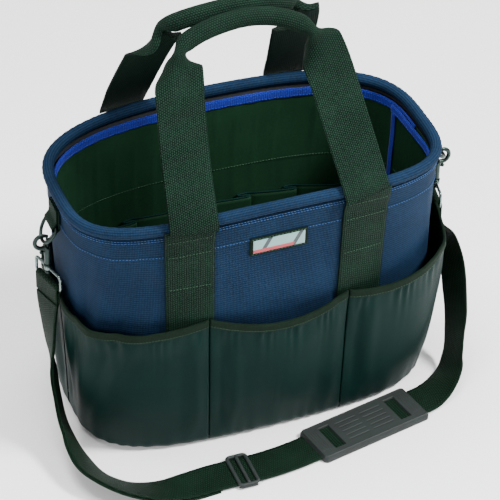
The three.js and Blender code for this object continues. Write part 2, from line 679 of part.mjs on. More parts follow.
function buildStrap() {
  const centres = new THREE.CatmullRomCurve3(strapRoute.map((row) => new THREE.Vector3(...row.at)));
  const widths = new THREE.CatmullRomCurve3(strapRoute.map((row) => new THREE.Vector3(...row.across)));
  const bar = new THREE.BoxGeometry(strapSize.width, strapSize.thickness, 1, 1, 1, 60);
  addMesh('shoulder_strap', bend(bar, (x, y, z) => {
    const { here, across, up } = strapFrame(centres, widths, z + 0.5);
    return here.addScaledVector(across, x).addScaledVector(up, y);
  }), strapWeb);

  const pad = { length: 131, width: 51, height: 8, tunnel: 40, low: 1.3, high: 4.6, window: 13, windowAt: 40 };
  const padBlock = toSolid(box(-pad.length / 2, pad.length / 2, -pad.width / 2, pad.width / 2, 0, pad.height));
  const tunnel = toSolid(box(-100, 100, -pad.tunnel / 2, pad.tunnel / 2, pad.low, pad.high));
  const cut = (x) => toSolid(box(x - pad.window / 2, x + pad.window / 2, -17, 17, pad.high - 1, 20));
  const padBody = padBlock.subtract(tunnel).subtract(cut(-pad.windowAt)).subtract(cut(pad.windowAt));
  const padMesh = addMesh('shoulder_pad', fromSolid(padBody), rubber);
  padMesh.position.set(88, -131.9, 0);
  padMesh.rotation.z = Math.atan2(14.9, 70);

  const slide = { length: 24, width: 47, height: 5.6, slot: 41, low: 1.2, high: 4.4 };
  const slideBlock = toSolid(box(-slide.length / 2, slide.length / 2, -slide.width / 2, slide.width / 2, 0, slide.height));
  const channel = toSolid(box(-50, 50, -slide.slot / 2, slide.slot / 2, slide.low, slide.high));
  const mouth = (x) => toSolid(box(x - 3.6, x + 3.6, -slide.slot / 2, slide.slot / 2, slide.low, 20));
  const slideBody = slideBlock.subtract(channel).subtract(mouth(-5.6)).subtract(mouth(5.6));
  const slideMesh = addMesh('strap_slider', fromSolid(slideBody), rubber);
  slideMesh.position.set(-55, -153.5, 0);
}

// ---- assembly -------------------------------------------------------------------------------------

buildShell();
buildRim();
buildLining();
buildInnerPockets('rear_inner_pockets', (x) => 1 - frontTurn(x));
buildInnerPockets('front_inner_pockets', (x) => frontTurn(x));
for (const face of ['front', 'rear']) {
  buildPockets(face);
  buildHandleTails(face);
}
buildHandle('front_handle', 1);
buildHandle('rear_handle', -1);
buildBadge();
for (const [name, end] of Object.entries(ends)) buildEnd(name, end);
buildStrap();

export default model;
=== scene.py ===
"""A garden tool bag: an oval canvas bag with bound pockets, webbing handles and a clip-on shoulder strap.

Sizes are in millimetres and become metres when a mesh is made. +X is the bag's right, -Y its front, +Z up,
and the origin is the middle of the base, on the floor.
"""
import logging
import math
from dataclasses import dataclass, field
from enum import Enum
from functools import cache
from typing import Callable, Sequence

import bmesh
import bpy
import numpy as np
from mathutils import Matrix, Vector


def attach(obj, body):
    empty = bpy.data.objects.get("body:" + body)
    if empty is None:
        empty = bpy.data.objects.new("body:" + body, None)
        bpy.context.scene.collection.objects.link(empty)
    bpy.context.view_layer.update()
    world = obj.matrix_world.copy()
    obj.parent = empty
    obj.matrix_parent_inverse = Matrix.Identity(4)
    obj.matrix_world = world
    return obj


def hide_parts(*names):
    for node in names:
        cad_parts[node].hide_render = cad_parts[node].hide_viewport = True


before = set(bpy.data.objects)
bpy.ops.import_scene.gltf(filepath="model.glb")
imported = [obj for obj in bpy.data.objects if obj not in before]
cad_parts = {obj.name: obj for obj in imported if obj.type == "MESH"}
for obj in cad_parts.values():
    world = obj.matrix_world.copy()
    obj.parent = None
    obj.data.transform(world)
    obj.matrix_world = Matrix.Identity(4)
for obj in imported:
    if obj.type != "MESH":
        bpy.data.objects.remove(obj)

MM = 0.001
GAP = 0.4  # clearance between sewn layers
GIRTH = 1040.0  # length once round the wall, for spacing folds
LEFT_LEG, RIGHT_LEG = -91.0, 87.5  # x of the middles of a handle's two legs
WELD = 1e-7  # points closer than this, in metres, are one
Number = float | np.ndarray
log = logging.getLogger("tool_bag")
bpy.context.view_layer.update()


class Face(Enum):
    """The long face that a repeated piece belongs to."""

    FRONT = "front"
    REAR = "rear"


class End(Enum):
    """The short end that a set of hardware hangs on; the value is its side along X."""

    LEFT = -1
    RIGHT = 1


class Weave(Enum):
    """How far each column of threads is shifted against the last, as a share of a thread's length."""

    PLAIN = 0.5
    RIB = 0.0


# ---- small tools ------------------------------------------------------------------------------------


def linear(code: str) -> tuple[float, float, float, float]:
    """Turns an sRGB hex colour into linear light.

    Args:
        code: The colour as "#rrggbb".

    Returns:
        Linear red, green, blue and an alpha of 1.
    """
    parts = [int(code[i:i + 2], 16) / 255 for i in (1, 3, 5)]
    curve = [c / 12.92 if c <= 0.04045 else ((c + 0.055) / 1.055) ** 2.4 for c in parts]
    return (*curve, 1.0)


def add_node(tree: bpy.types.NodeTree, kind: str, values: dict | Sequence = (), **settings) -> bpy.types.Node:
    """Adds a shader node, sets it up and links it.

    Args:
        tree: The node tree that gets the node.
        kind: Blender's name of the node type.
        values: Input values by name or in order. A node stands for its first output; None is left alone.
        settings: Attributes of the node itself.

    Returns:
        The new node.
    """
    node = tree.nodes.new(kind)
    for key, value in settings.items():
        setattr(node, key, value)
    pairs = values.items() if isinstance(values, dict) else enumerate(values)
    for key, value in pairs:
        if value is None:
            continue
        if isinstance(value, bpy.types.Node):
            value = value.outputs[0]
        if isinstance(value, bpy.types.NodeSocket):
            tree.links.new(value, node.inputs[key])
        else:
            node.inputs[key].default_value = value
    return node


def smooth(value: Number, low: float, high: float) -> Number:
    """Eases from 0 at low to 1 at high, for a number or an array."""
    part = np.clip((np.asarray(value, float) - low) / (high - low), 0, 1)
    return part * part * (3 - 2 * part)


def unit(vectors: np.ndarray) -> np.ndarray:
    """Scales each vector to length 1."""
    return vectors / np.maximum(np.linalg.norm(vectors, axis=-1, keepdims=True), 1e-9)


def swell(x: Number, y: Number, seed: float) -> Number:
    """A smooth made-up unevenness between about -1 and 1, from a few crossed waves.

    Args:
        x: First coordinate, in waves.
        y: Second coordinate, in waves.
        seed: Any number; each gives its own pattern.

    Returns:
        The unevenness, in the shape of x and y together.
    """
    total = 0
    for k in range(5):
        turn = seed * 1.7 + k * 2.399
        stretch = 1 + 0.45 * k
        along = x * math.cos(turn) + y * math.sin(turn)
        total = total + np.sin(stretch * along + seed * 9.1 + k * 4.3) / stretch
    return total / 2.2


class Spline:
    """A smooth curve through points, in any number of dimensions."""

    def __init__(self, points: Sequence[Sequence[float]], closed: bool = False) -> None:
        """Takes the points.

        Args:
            points: The points that the curve passes through.
            closed: Whether the last point joins the first.
        """
        self.points = np.array(points, float)
        self.closed = closed
        self.spans = len(points) if closed else len(points) - 1
        self.grain = np.linspace(0, 1, self.spans * 24 + 1)
        steps = np.linalg.norm(np.diff(self.sample(self.grain), axis=0), axis=1)
        self.lengths = np.concatenate([[0], np.cumsum(steps)])

    def sample(self, t: Number) -> np.ndarray:
        """Points at even steps of the curve's own parameter.

        Args:
            t: Parameters from 0 to 1.

        Returns:
            One row per parameter.
        """
        place = np.clip(np.asarray(t, float), 0, 1) * self.spans
        first = np.minimum(place.astype(int), self.spans - 1)
        part = (place - first)[:, None]
        count = len(self.points)
        near = []
        for step in (-1, 0, 1, 2):
            index = (first + step) % count if self.closed else np.clip(first + step, 0, count - 1)
            near.append(self.points[index])
        a, b, c, d = near
        if not self.closed:
            a = np.where((first == 0)[:, None], 2 * b - c, a)
            d = np.where((first == self.spans - 1)[:, None], 2 * c - b, d)
        return 0.5 * (2 * b + (c - a) * part + (2 * a - 5 * b + 4 * c - d) * part ** 2
                      + (3 * b - 3 * c + d - a) * part ** 3)

    def even(self, v: Number) -> np.ndarray:
        """The curve's own parameter at fractions of its length."""
        return np.interp(np.asarray(v, float) * self.lengths[-1], self.lengths, self.grain)

    def at(self, v: Number) -> np.ndarray:
        """Points at fractions of the curve's length."""
        return self.sample(self.even(v))


def mesh_object(name: str, points: np.ndarray, faces: list, corners: list | None = None) -> bpy.types.Object:
    """Makes a smooth-shaded object from points in millimetres.

    Args:
        name: The object's name.
        points: Vertices, one row each.
        faces: Vertex indices of each face.
        corners: The texture place, in metres, of each face's corners.

    Returns:
        The new object, linked to the scene, with its faces turned outwards.
    """
    mesh = bpy.data.meshes.new(name)
    mesh.from_pydata((np.asarray(points, float).reshape(-1, 3) * MM).tolist(), [], faces)
    if corners is not None:
        layer = mesh.uv_layers.new(name="cloth")
        layer.data.foreach_set("uv", np.asarray(corners, float).ravel())
    work = bmesh.new()
    work.from_mesh(mesh)
    bmesh.ops.recalc_face_normals(work, faces=work.faces)
    work.to_mesh(mesh)
    work.free()
    mesh.shade_smooth()
    made = bpy.data.objects.new(name, mesh)
    bpy.context.scene.collection.objects.link(made)
    return made


def sheet_object(name: str, outer: np.ndarray, inner: np.ndarray | None = None,
                 wrap: bool = False) -> bpy.types.Object:
    """Makes a cloth or webbing piece from one or two grids of points.

    Args:
        name: The object's name.
        outer: Points of the visible side: rows, columns, xyz.
        inner: The same grid on the other side. The edges between the two are closed.
        wrap: Whether the last column joins the first.

    Returns:
        The new object, with texture places in metres along its rows and columns.
    """
    rows, cols = outer.shape[:2]
    middle_row, middle_col = outer[rows // 2], outer[:, cols // 2]
    ring = np.vstack([middle_row, middle_row[:1]]) if wrap else middle_row
    across = np.concatenate([[0], np.cumsum(np.linalg.norm(np.diff(ring, axis=0), axis=1))]) * MM
    along = np.concatenate([[0], np.cumsum(np.linalg.norm(np.diff(middle_col, axis=0), axis=1))]) * MM
    faces, corners = [], []
    spans = cols if wrap else cols - 1
    layers = [outer] if inner is None else [outer, inner]
    for layer in range(len(layers)):
        base = layer * rows * cols
        for r in range(rows - 1):
            for c in range(spans):
                d = (c + 1) % cols
                quad = [base + r * cols + c, base + r * cols + d,
                        base + (r + 1) * cols + d, base + (r + 1) * cols + c]
                place = [(across[c], along[r]), (across[c + 1], along[r]),
                         (across[c + 1], along[r + 1]), (across[c], along[r + 1])]
                faces.append(quad if layer == 0 else quad[::-1])
                corners.extend(place if layer == 0 else place[::-1])
    if inner is not None:
        size = rows * cols
        for c in range(spans):
            d = (c + 1) % cols
            for r in (0, rows - 1):
                faces.append([r * cols + c, r * cols + d, size + r * cols + d, size + r * cols + c])
                corners.extend([(across[c], along[r]), (across[c + 1], along[r])] * 2)
        if not wrap:
            for r in range(rows - 1):
                for c in (0, cols - 1):
                    faces.append([r * cols + c, (r + 1) * cols + c,
                                  size + (r + 1) * cols + c, size + r * cols + c])
                    corners.extend([(across[c], along[r]), (across[c], along[r + 1])] * 2)
    return mesh_object(name, np.concatenate([x.reshape(-1, 3) for x in layers]), faces, corners)


def mended(body: bpy.types.Object, weld: bool) -> bpy.types.Object:
    """Closes up a mesh that was made as a wrapped sheet.

    Args:
        body: The object.
        weld: Whether to weld its doubled points; if not, its open ends are capped.

    Returns:
        The same object, smooth and with its faces turned outwards.
    """
    work = bmesh.new()
    work.from_mesh(body.data)
    if weld:
        bmesh.ops.remove_doubles(work, verts=work.verts, dist=WELD)
    else:
        bmesh.ops.holes_fill(work, edges=[e for e in work.edges if e.is_boundary])
    bmesh.ops.recalc_face_normals(work, faces=work.faces)
    work.to_mesh(body.data)
    work.free()
    body.data.shade_smooth()
    return body


def tube_object(name: str, path: np.ndarray, radius: Number, sides: int = 14, closed: bool = False,
                section: Sequence[float] = (1, 1), hint: Sequence[float] = (0, 0, 1)) -> bpy.types.Object:
    """Makes a rod or wire that follows a path.

    Args:
        name: The object's name.
        path: Points in order.
        radius: One radius, or one for each point.
        sides: Facets round the section.
        closed: Whether the path's end joins its start.
        section: Width and height of the section against its radius.
        hint: A direction that the section's height stays near.

    Returns:
        The new object.
    """
    count = len(path)
    if closed:
        along = unit(np.roll(path, -1, 0) - np.roll(path, 1, 0))
    else:
        along = unit(np.gradient(path, axis=0))
    radii = np.broadcast_to(np.asarray(radius, float), (count,))
    up = np.array(hint, float)
    rings = []
    for i in range(count):
        up = up - along[i] * np.dot(up, along[i])
        if np.linalg.norm(up) < 1e-6:
            up = np.cross(along[i], (0.3, 0.9, 0.1))
        up = up / np.linalg.norm(up)
        side = np.cross(along[i], up)
        turn = np.linspace(0, 2 * math.pi, sides, endpoint=False)[:, None]
        rings.append(path[i] + radii[i] * (section[0] * np.cos(turn) * side + section[1] * np.sin(turn) * up))
    points = np.array(rings)
    if closed:
        points = np.concatenate([points, points[:1]])
    return mended(sheet_object(name, points, wrap=True), weld=closed)


def turned_object(name: str, profile: Sequence[tuple[float, float]], place: Callable,
                  sides: int = 28) -> bpy.types.Object:
    """Makes a turned piece, as from a lathe.

    Args:
        name: The object's name.
        profile: Radius and height of each point, from the bottom axis to the top axis.
        place: Maps local points to the bag's frame.
        sides: Facets round the axis.

    Returns:
        The new object.
    """
    turn = np.linspace(0, 2 * math.pi, sides, endpoint=False)
    rings = [np.stack([r * np.cos(turn), r * np.sin(turn), np.full(sides, z)], -1) for r, z in profile]
    return mended(sheet_object(name, place(np.array(rings)), wrap=True), weld=True)


def joined(pieces: Sequence[bpy.types.Object], name: str) -> bpy.types.Object:
    """Joins finished meshes.

    Args:
        pieces: The objects; all but the first are removed.
        name: The name of the joined object.

    Returns:
        The first object, which now holds them all.
    """
    work = bmesh.new()
    for piece in pieces:
        work.from_mesh(piece.data)
    work.to_mesh(pieces[0].data)
    work.free()
    for piece in pieces[1:]:
        bpy.data.objects.remove(piece)
    pieces[0].name = pieces[0].data.name = name
    pieces[0].data.shade_smooth()
    return pieces[0]


def rounded_loop(corners: Sequence[tuple[float, float, float]], radius: float, count: int) -> np.ndarray:
    """Lays arcs round the corners of a flat loop.

    Args:
        corners: X and Y of each arc's centre, and the half turns at which the arc starts.
        radius: Radius of the arcs.
        count: Points on each arc.

    Returns:
        The loop's points, one row each.
    """
    return np.array([(cx + radius * math.cos(a), cy + radius * math.sin(a)) for cx, cy, start in corners
                     for a in np.linspace(start * math.pi, (start + 0.5) * math.pi, count)])


def filled_in(loop: np.ndarray, step: float) -> np.ndarray:
    """Adds points to the long sides of a closed loop.

    Args:
        loop: The loop's points.
        step: About how far apart the new points are.

    Returns:
        The denser loop.
    """
    dense = []
    for here, ahead in zip(loop, np.roll(loop, -1, 0)):
        steps = max(int(np.linalg.norm(ahead - here) / step), 1)
        dense += [here + (ahead - here) * k / steps for k in range(steps)]
    return np.array(dense)


def stitch_row(name: str, path: np.ndarray, out: np.ndarray, pitch: float = 3.2,
               thread: float = 0.42) -> bpy.types.Object:
    """Makes a row of sewn stitches: short plump bars that dip at both ends.

    Args:
        name: The object's name.
        path: Points along the row, close together.
        out: The cloth's outward direction at each point.
        pitch: Length of one stitch with its gap.
        thread: Radius of the thread.

    Returns:
        The new object.
    """
    steps = np.concatenate([[0], np.cumsum(np.linalg.norm(np.diff(path, axis=0), axis=1))])
    count = max(int(steps[-1] / pitch), 1)
    centres = (np.arange(count) + 0.5) * steps[-1] / count
    def columns(values: np.ndarray) -> np.ndarray:
        """Values at the middle of each stitch."""
        return np.stack([np.interp(centres, steps, values[:, k]) for k in range(3)], -1)

    middle, up, along = columns(path), unit(columns(out)), unit(columns(np.gradient(path, axis=0)))
    side = np.cross(along, up)
    sides, rings = 6, 5
    shares = np.linspace(-1, 1, rings)
    girth = np.sqrt(np.maximum(1 - shares ** 2, 0.02))
    turn = np.linspace(0, 2 * math.pi, sides, endpoint=False)
    reach = pitch * 0.41
    template = np.array([[s * reach, g * math.cos(a), g * math.sin(a) + 0.6 - 0.8 * s * s]
                         for s, g in zip(shares, girth) for a in turn])
    points = (middle[:, None] + along[:, None] * template[None, :, :1]
              + (side[:, None] * template[None, :, 1:2] + up[:, None] * template[None, :, 2:3]) * thread)
    faces = []
    for k in range(count):
        base = k * rings * sides
        for r in range(rings - 1):
            for s in range(sides):
                e = (s + 1) % sides
                faces.append([base + r * sides + s, base + r * sides + e,
                              base + (r + 1) * sides + e, base + (r + 1) * sides + s])
    return mesh_object(name, points.reshape(-1, 3), faces)


# ---- finishes ---------------------------------------------------------------------------------------


def blank_material(name: str) -> tuple[bpy.types.Material, bpy.types.NodeTree]:
    """Makes a material with an empty node tree.

    Args:
        name: The material's name.

    Returns:
        The material and its tree.
    """
    made = bpy.data.materials.new(name)
    made.use_nodes = True
    made.node_tree.nodes.clear()
    return made, made.node_tree


@dataclass(frozen=True)
class WovenCloth:
    """Cloth or webbing drawn thread by thread along its own weave.

    Attributes:
        name: What the cloth is.
        slot: The record's material slot.
        shade: Painted shade: the colour between the threads.
        face: Colour on the crown of a thread, lighter as a painted highlight.
        across: Thread spacing along the rows, in mm.
        along: Thread spacing along the columns, in mm.
        weave: How neighbouring threads are staggered.
        relief: Height of a thread, in mm.
        roughness: Spread of the highlight.
        sheen: Soft light from loose fibres at grazing angles.
        streak: How uneven the dyeing is, 0 to 1.
        glint: Colour of the highlight.
        shine: Strength of the highlight; 0.5 is a bare plastic film.
    """

    name: str
    slot: str
    shade: str
    face: str
    across: float
    along: float
    weave: Weave = Weave.PLAIN
    relief: float = 0.25
    roughness: float = 0.85
    sheen: float = 0.1
    streak: float = 0.3
    glint: str = "#ffffff"
    shine: float = 0.25

    def material(self) -> bpy.types.Material:
        """Builds the cloth's node material.

        Returns:
            The material: staggered threads with shade painted between them and a highlight painted on their
            crowns, dye streaks and worn lighter patches.
        """
        made, tree = blank_material(self.name)
        place = add_node(tree, "ShaderNodeUVMap", uv_map="cloth")
        axes = add_node(tree, "ShaderNodeSeparateXYZ", [place])
        column = add_node(tree, "ShaderNodeMath", [axes.outputs[0], self.across * MM], operation="DIVIDE")
        number = add_node(tree, "ShaderNodeMath", [column], operation="FLOOR")
        shift = add_node(tree, "ShaderNodeMath", [number, self.weave.value], operation="MULTIPLY")
        row = add_node(tree, "ShaderNodeMath", [axes.outputs[1], self.along * MM], operation="DIVIDE")
        row = add_node(tree, "ShaderNodeMath", [row, shift], operation="ADD")
        crowns = []
        for axis in (column, row):
            part = add_node(tree, "ShaderNodeMath", [axis], operation="FRACT")
            turn = add_node(tree, "ShaderNodeMath", [part, math.pi], operation="MULTIPLY")
            crowns.append(add_node(tree, "ShaderNodeMath", [turn], operation="SINE"))
        thread = add_node(tree, "ShaderNodeMath", crowns, operation="MULTIPLY")
        body = add_node(tree, "ShaderNodeTexCoord")
        spot = body.outputs["Object"]
        # Dye patches are about 45 mm across and loose fibres about 2.4 mm.
        patch = add_node(tree, "ShaderNodeTexNoise", {"Vector": spot, "Scale": 22.0, "Detail": 3.0})
        grain = add_node(tree, "ShaderNodeTexNoise", {"Vector": spot, "Scale": 420.0, "Detail": 2.0})
        uneven = add_node(tree, "ShaderNodeMath", [patch, grain], operation="ADD")
        uneven = add_node(tree, "ShaderNodeMath", [uneven, -1.0], operation="ADD")
        uneven = add_node(tree, "ShaderNodeMath", [uneven, self.streak * 2.2], operation="MULTIPLY")
        # The thread pattern paints shade between the threads and a highlight on their crowns; the dye noise
        # is real uneven colour.
        tone = add_node(tree, "ShaderNodeMath", [thread, uneven], operation="ADD", use_clamp=True)
        colour = add_node(tree, "ShaderNodeMix", {0: tone, 6: linear(self.shade), 7: linear(self.face)},
                          data_type="RGBA")
        fuzz = add_node(tree, "ShaderNodeMath", [grain, 0.35], operation="MULTIPLY")
        height = add_node(tree, "ShaderNodeMath", [thread, fuzz], operation="ADD")
        bump = add_node(tree, "ShaderNodeBump", {
            "Height": height, "Distance": self.relief * MM, "Strength": 1.0})
        shader = add_node(tree, "ShaderNodeBsdfPrincipled", {
            "Base Color": colour.outputs[2], "Roughness": self.roughness, "IOR": 1.4,
            "Specular Tint": linear(self.glint), "Specular IOR Level": self.shine,
            "Sheen Weight": self.sheen, "Sheen Roughness": 0.5, "Normal": bump})
        add_node(tree, "ShaderNodeOutputMaterial", [shader])
        return made


@dataclass(frozen=True)
class PlatedMetal:
    """Plated steel or die casting, scuffed where it rubs.

    Attributes:
        name: What the plating is.
        slot: The record's material slot.
        dull: Colour of the untouched plate.
        bright: Colour where it is rubbed.
        roughness: Spread of the highlight.
    """

    name: str
    slot: str
    dull: str
    bright: str
    roughness: float

    def material(self) -> bpy.types.Material:
        """Builds the metal's node material.

        Returns:
            The material: cloudy plate with fine scuffs.
        """
        made, tree = blank_material(self.name)
        body = add_node(tree, "ShaderNodeTexCoord")
        place = body.outputs["Object"]
        # Clouds in the plate are about 6 mm across and scuffs 0.7 mm.
        cloud = add_node(tree, "ShaderNodeTexNoise", {"Vector": place, "Scale": 160.0, "Detail": 4.0})
        scuff = add_node(tree, "ShaderNodeTexNoise", {"Vector": place, "Scale": 1400.0, "Detail": 2.0})
        colour = add_node(tree, "ShaderNodeMix", {0: cloud, 6: linear(self.dull), 7: linear(self.bright)},
                          data_type="RGBA")
        spread = add_node(tree, "ShaderNodeMapRange", [
            cloud, 0.3, 0.7, self.roughness * 0.8, self.roughness * 1.25])
        bump = add_node(tree, "ShaderNodeBump", {"Height": scuff, "Distance": 0.00004, "Strength": 0.6})
        shader = add_node(tree, "ShaderNodeBsdfPrincipled", {
            "Base Color": colour.outputs[2], "Metallic": 1.0, "Roughness": spread, "Normal": bump})
        add_node(tree, "ShaderNodeOutputMaterial", [shader])
        return made


@dataclass(frozen=True)
class Moulded:
    """Moulded rubber, plastic or foam with a fine skin.

    Attributes:
        name: What the material is.
        slot: The record's material slot.
        low: Colour in the grain's hollows.
        high: Colour on its crowns.
        grain: Size of the skin's grain, in mm.
        relief: Depth of the grain, in mm.
        roughness: Spread of the highlight.
    """

    name: str
    slot: str
    low: str
    high: str
    grain: float
    relief: float
    roughness: float

    def material(self) -> bpy.types.Material:
        """Builds the moulded skin's node material.

        Returns:
            The material: pebbled skin with slightly uneven tone.
        """
        made, tree = blank_material(self.name)
        body = add_node(tree, "ShaderNodeTexCoord")
        pebble = add_node(tree, "ShaderNodeTexNoise", {
            "Vector": body.outputs["Object"], "Scale": 0.5 / (self.grain * MM), "Detail": 3.0})
        cloud = add_node(tree, "ShaderNodeTexNoise", {
            "Vector": body.outputs["Object"], "Scale": 60.0, "Detail": 2.0})
        tone = add_node(tree, "ShaderNodeMath", [pebble, cloud], operation="MULTIPLY")
        tone = add_node(tree, "ShaderNodeMapRange", [tone, 0.12, 0.4, 0.0, 1.0])
        colour = add_node(tree, "ShaderNodeMix", {0: tone, 6: linear(self.low), 7: linear(self.high)},
                          data_type="RGBA")
        bump = add_node(tree, "ShaderNodeBump", {
            "Height": pebble, "Distance": self.relief * MM, "Strength": 1.0})
        shader = add_node(tree, "ShaderNodeBsdfPrincipled", {
            "Base Color": colour.outputs[2], "Roughness": self.roughness, "IOR": 1.5, "Normal": bump})
        add_node(tree, "ShaderNodeOutputMaterial", [shader])
        return made


@dataclass(frozen=True)
class WovenLabel:
    """A satin-woven label: a silver field, dark folded corners and a red stripe along the foot.

    Attributes:
        name: What the label is.
        slot: The record's material slot.
        field: Colour of the middle.
        corner: Colour of the slanting corners.
        stripe: Colour of the foot stripe.
        width: Length of the label, in mm.
        height: Height of the label, in mm.
    """

    name: str = "satin woven label"
    slot: str = "label"
    field: str = "#6f9594"
    corner: str = "#14262b"
    stripe: str = "#a00c28"
    width: float = 53.0
    height: float = 15.6

    def material(self) -> bpy.types.Material:
        """Builds the label's node material from its own place on the patch.

        Returns:
            The material.
        """
        made, tree = blank_material(self.name)
        place = add_node(tree, "ShaderNodeUVMap", uv_map="cloth")
        axes = add_node(tree, "ShaderNodeSeparateXYZ", [place])
        x = add_node(tree, "ShaderNodeMath", [axes.outputs[0], self.width * MM], operation="DIVIDE")
        y = add_node(tree, "ShaderNodeMath", [axes.outputs[1], self.height * MM], operation="DIVIDE")
        slant = add_node(tree, "ShaderNodeMath", [y, 0.16], operation="MULTIPLY")
        lean = add_node(tree, "ShaderNodeMath", [x, slant], operation="SUBTRACT")
        panels = []
        for low, high in ((0.13, 0.22), (0.74, 0.83)):
            over = add_node(tree, "ShaderNodeMath", [lean, low], operation="GREATER_THAN")
            under = add_node(tree, "ShaderNodeMath", [lean, high], operation="LESS_THAN")
            panels.append(add_node(tree, "ShaderNodeMath", [over, under], operation="MULTIPLY"))
        corner = add_node(tree, "ShaderNodeMath", panels, operation="ADD", use_clamp=True)
        foot = add_node(tree, "ShaderNodeMath", [y, 0.27], operation="LESS_THAN")
        short = add_node(tree, "ShaderNodeMath", [lean, 0.78], operation="LESS_THAN")
        foot = add_node(tree, "ShaderNodeMath", [foot, short], operation="MULTIPLY")
        threads = add_node(tree, "ShaderNodeTexNoise", {"Vector": place, "Scale": 900.0, "Detail": 1.0})
        colour = linear(self.field)
        for mask, ink in ((corner, self.corner), (foot, self.stripe)):
            colour = add_node(tree, "ShaderNodeMix", {0: mask, 6: colour, 7: linear(ink)},
                              data_type="RGBA").outputs[2]
        bump = add_node(tree, "ShaderNodeBump", {"Height": threads, "Distance": 0.0001, "Strength": 0.7})
        shader = add_node(tree, "ShaderNodeBsdfPrincipled", {
            "Base Color": colour, "Roughness": 0.45, "Sheen Weight": 0.2, "Normal": bump})
        add_node(tree, "ShaderNodeOutputMaterial", [shader])
        return made


# Solution-dyed polyester canvas: a fine steep rib, matt, with a highlight painted on its crowns. Real
# threads are 0.6 mm apart; they are drawn at 1.5 mm so that the rib shows.
NAVY_CANVAS = WovenCloth("navy polyester canvas", "canvas", "#081422", "#192f48", across=1.5, along=2.6,
                         weave=Weave.RIB, relief=0.22, sheen=0.0, streak=0.34, glint="#8ea6c4")
# Coated nylon pack cloth: too fine a weave to see, so it reads as a soft satin with streaky highlights.
# Real threads are 0.3 mm apart; they are drawn at 1.1 mm.
PACK_CLOTH = WovenCloth("coated nylon pack cloth", "pocket_nylon", "#04100e", "#0c2521", across=1.1,
                        along=1.6, relief=0.07, roughness=0.5, sheen=0.0, streak=0.25, glint="#6fb0ac",
                        shine=0.16)
# Light coated lining nylon: smooth and a little shiny, green-black. Threads drawn at 1 mm for real 0.3 mm.
LINING_NYLON = WovenCloth("coated lining nylon", "lining", "#0b1c12", "#1b3825", across=1.0, along=1.0,
                          relief=0.03, roughness=0.42, sheen=0.0, streak=0.2, glint="#8fb89a", shine=0.45)
# Polyester grosgrain tape: bright blue, ribbed across. Ribs drawn at 2 mm for real ones of 1 mm.
BLUE_TAPE = WovenCloth("blue grosgrain tape", "binding", "#070f52", "#182d9c", across=2.0, along=1.6,
                       relief=0.3, roughness=0.75, sheen=0.04)
# Heavy polypropylene webbing, 50 mm: knobbly staggered ribs. Drawn at 2.3 mm for real ribs of 1.5 mm.
HANDLE_WEBBING = WovenCloth("heavy polypropylene webbing", "webbing", "#030806", "#1b3026", across=2.3,
                            along=2.5, relief=0.55, roughness=0.75, sheen=0.0, glint="#7fa38c")
# Finer nylon webbing of the shoulder strap: close cross ribs. Drawn at 2.4 mm for real ribs of 1.2 mm.
STRAP_WEBBING = WovenCloth("nylon strap webbing", "strap_webbing", "#030805", "#15281d", across=2.6,
                           along=2.4, relief=0.5, roughness=0.65, sheen=0.0, glint="#7fa38c")
# Folded tape that binds the pocket mouths: dull and close-woven. Drawn at 1.4 mm for real 0.7 mm.
POCKET_TAPE = WovenCloth("pocket binding tape", "webbing", "#070e0a", "#16241b", across=1.4, along=1.4,
                         relief=0.15, roughness=0.8, sheen=0.0, streak=0.25, glint="#7fa38c")
# Bonded polyester thread in three colours: a plain satin twist.
TWIST = {"across": 0.8, "along": 0.8, "relief": 0.05, "roughness": 0.5, "sheen": 0.0, "streak": 0.2}
NAVY_THREAD = WovenCloth("navy bonded thread", "canvas", "#2a4a78", "#4f75a5", **TWIST)
DARK_THREAD = WovenCloth("dark bonded thread", "webbing", "#26402f", "#4d6c56", **TWIST)
BLUE_THREAD = WovenCloth("blue bonded thread", "binding", "#1a2f9c", "#3350d0", **TWIST)
# Die-cast zinc with a dark nickel plate: gunmetal with a soft reflection.
DARK_NICKEL = PlatedMetal("dark nickel plated casting", "hook_metal", "#1c2625", "#3b4743", roughness=0.34)
# Bright nickel on drawn wire: paler, with a sharper reflection.
BRIGHT_NICKEL = PlatedMetal("bright nickel plated wire", "bail_steel", "#4a5856", "#84928f", roughness=0.28)
# Injection-moulded soft rubber: pebbled and dull.
SOFT_RUBBER = Moulded("moulded soft rubber", "moulded_pad", "#040d0b", "#0b1a17", grain=0.9, relief=0.06,
                      roughness=0.68)
# Closed-cell foam: near black, with open pores on its cut face.
CELL_FOAM = Moulded("closed-cell foam", "foam", "#05080d", "#0e141c", grain=1.4, relief=0.3, roughness=0.95)
# Extruded polypropylene board: faint haircell skin.
BASE_BOARD = Moulded("polypropylene board", "board", "#24292a", "#3f4647", grain=1.0, relief=0.05,
                     roughness=0.6)
LABEL = WovenLabel()

Finish = WovenCloth | PlatedMetal | Moulded | WovenLabel


@cache
def material_of(finish: Finish) -> bpy.types.Material:
    """The material of a finish, made once."""
    return finish.material()


def dress(piece: bpy.types.Object, finish: Finish, body: str, *nodes: str) -> bpy.types.Object:
    """Gives a piece its finish, its body and the parts of the model that it stands for.

    Args:
        piece: The object.
        finish: One of the finishes above.
        body: The name of the body that it moves with.
        nodes: The model nodes that it replaces.

    Returns:
        The piece.
    """
    piece.data.materials.clear()
    piece.data.materials.append(material_of(finish))
    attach(piece, body)
    if nodes:
        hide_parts(*nodes)
    return piece


def coat(node: str, finish: Finish) -> None:
    """Puts a finish on a part of the model that stays as it is.

    Args:
        node: The node's name.
        finish: One of the finishes above.
    """
    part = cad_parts[node]
    part.data.materials.clear()
    part.data.materials.append(material_of(finish))


# ---- the oval plan ----------------------------------------------------------------------------------


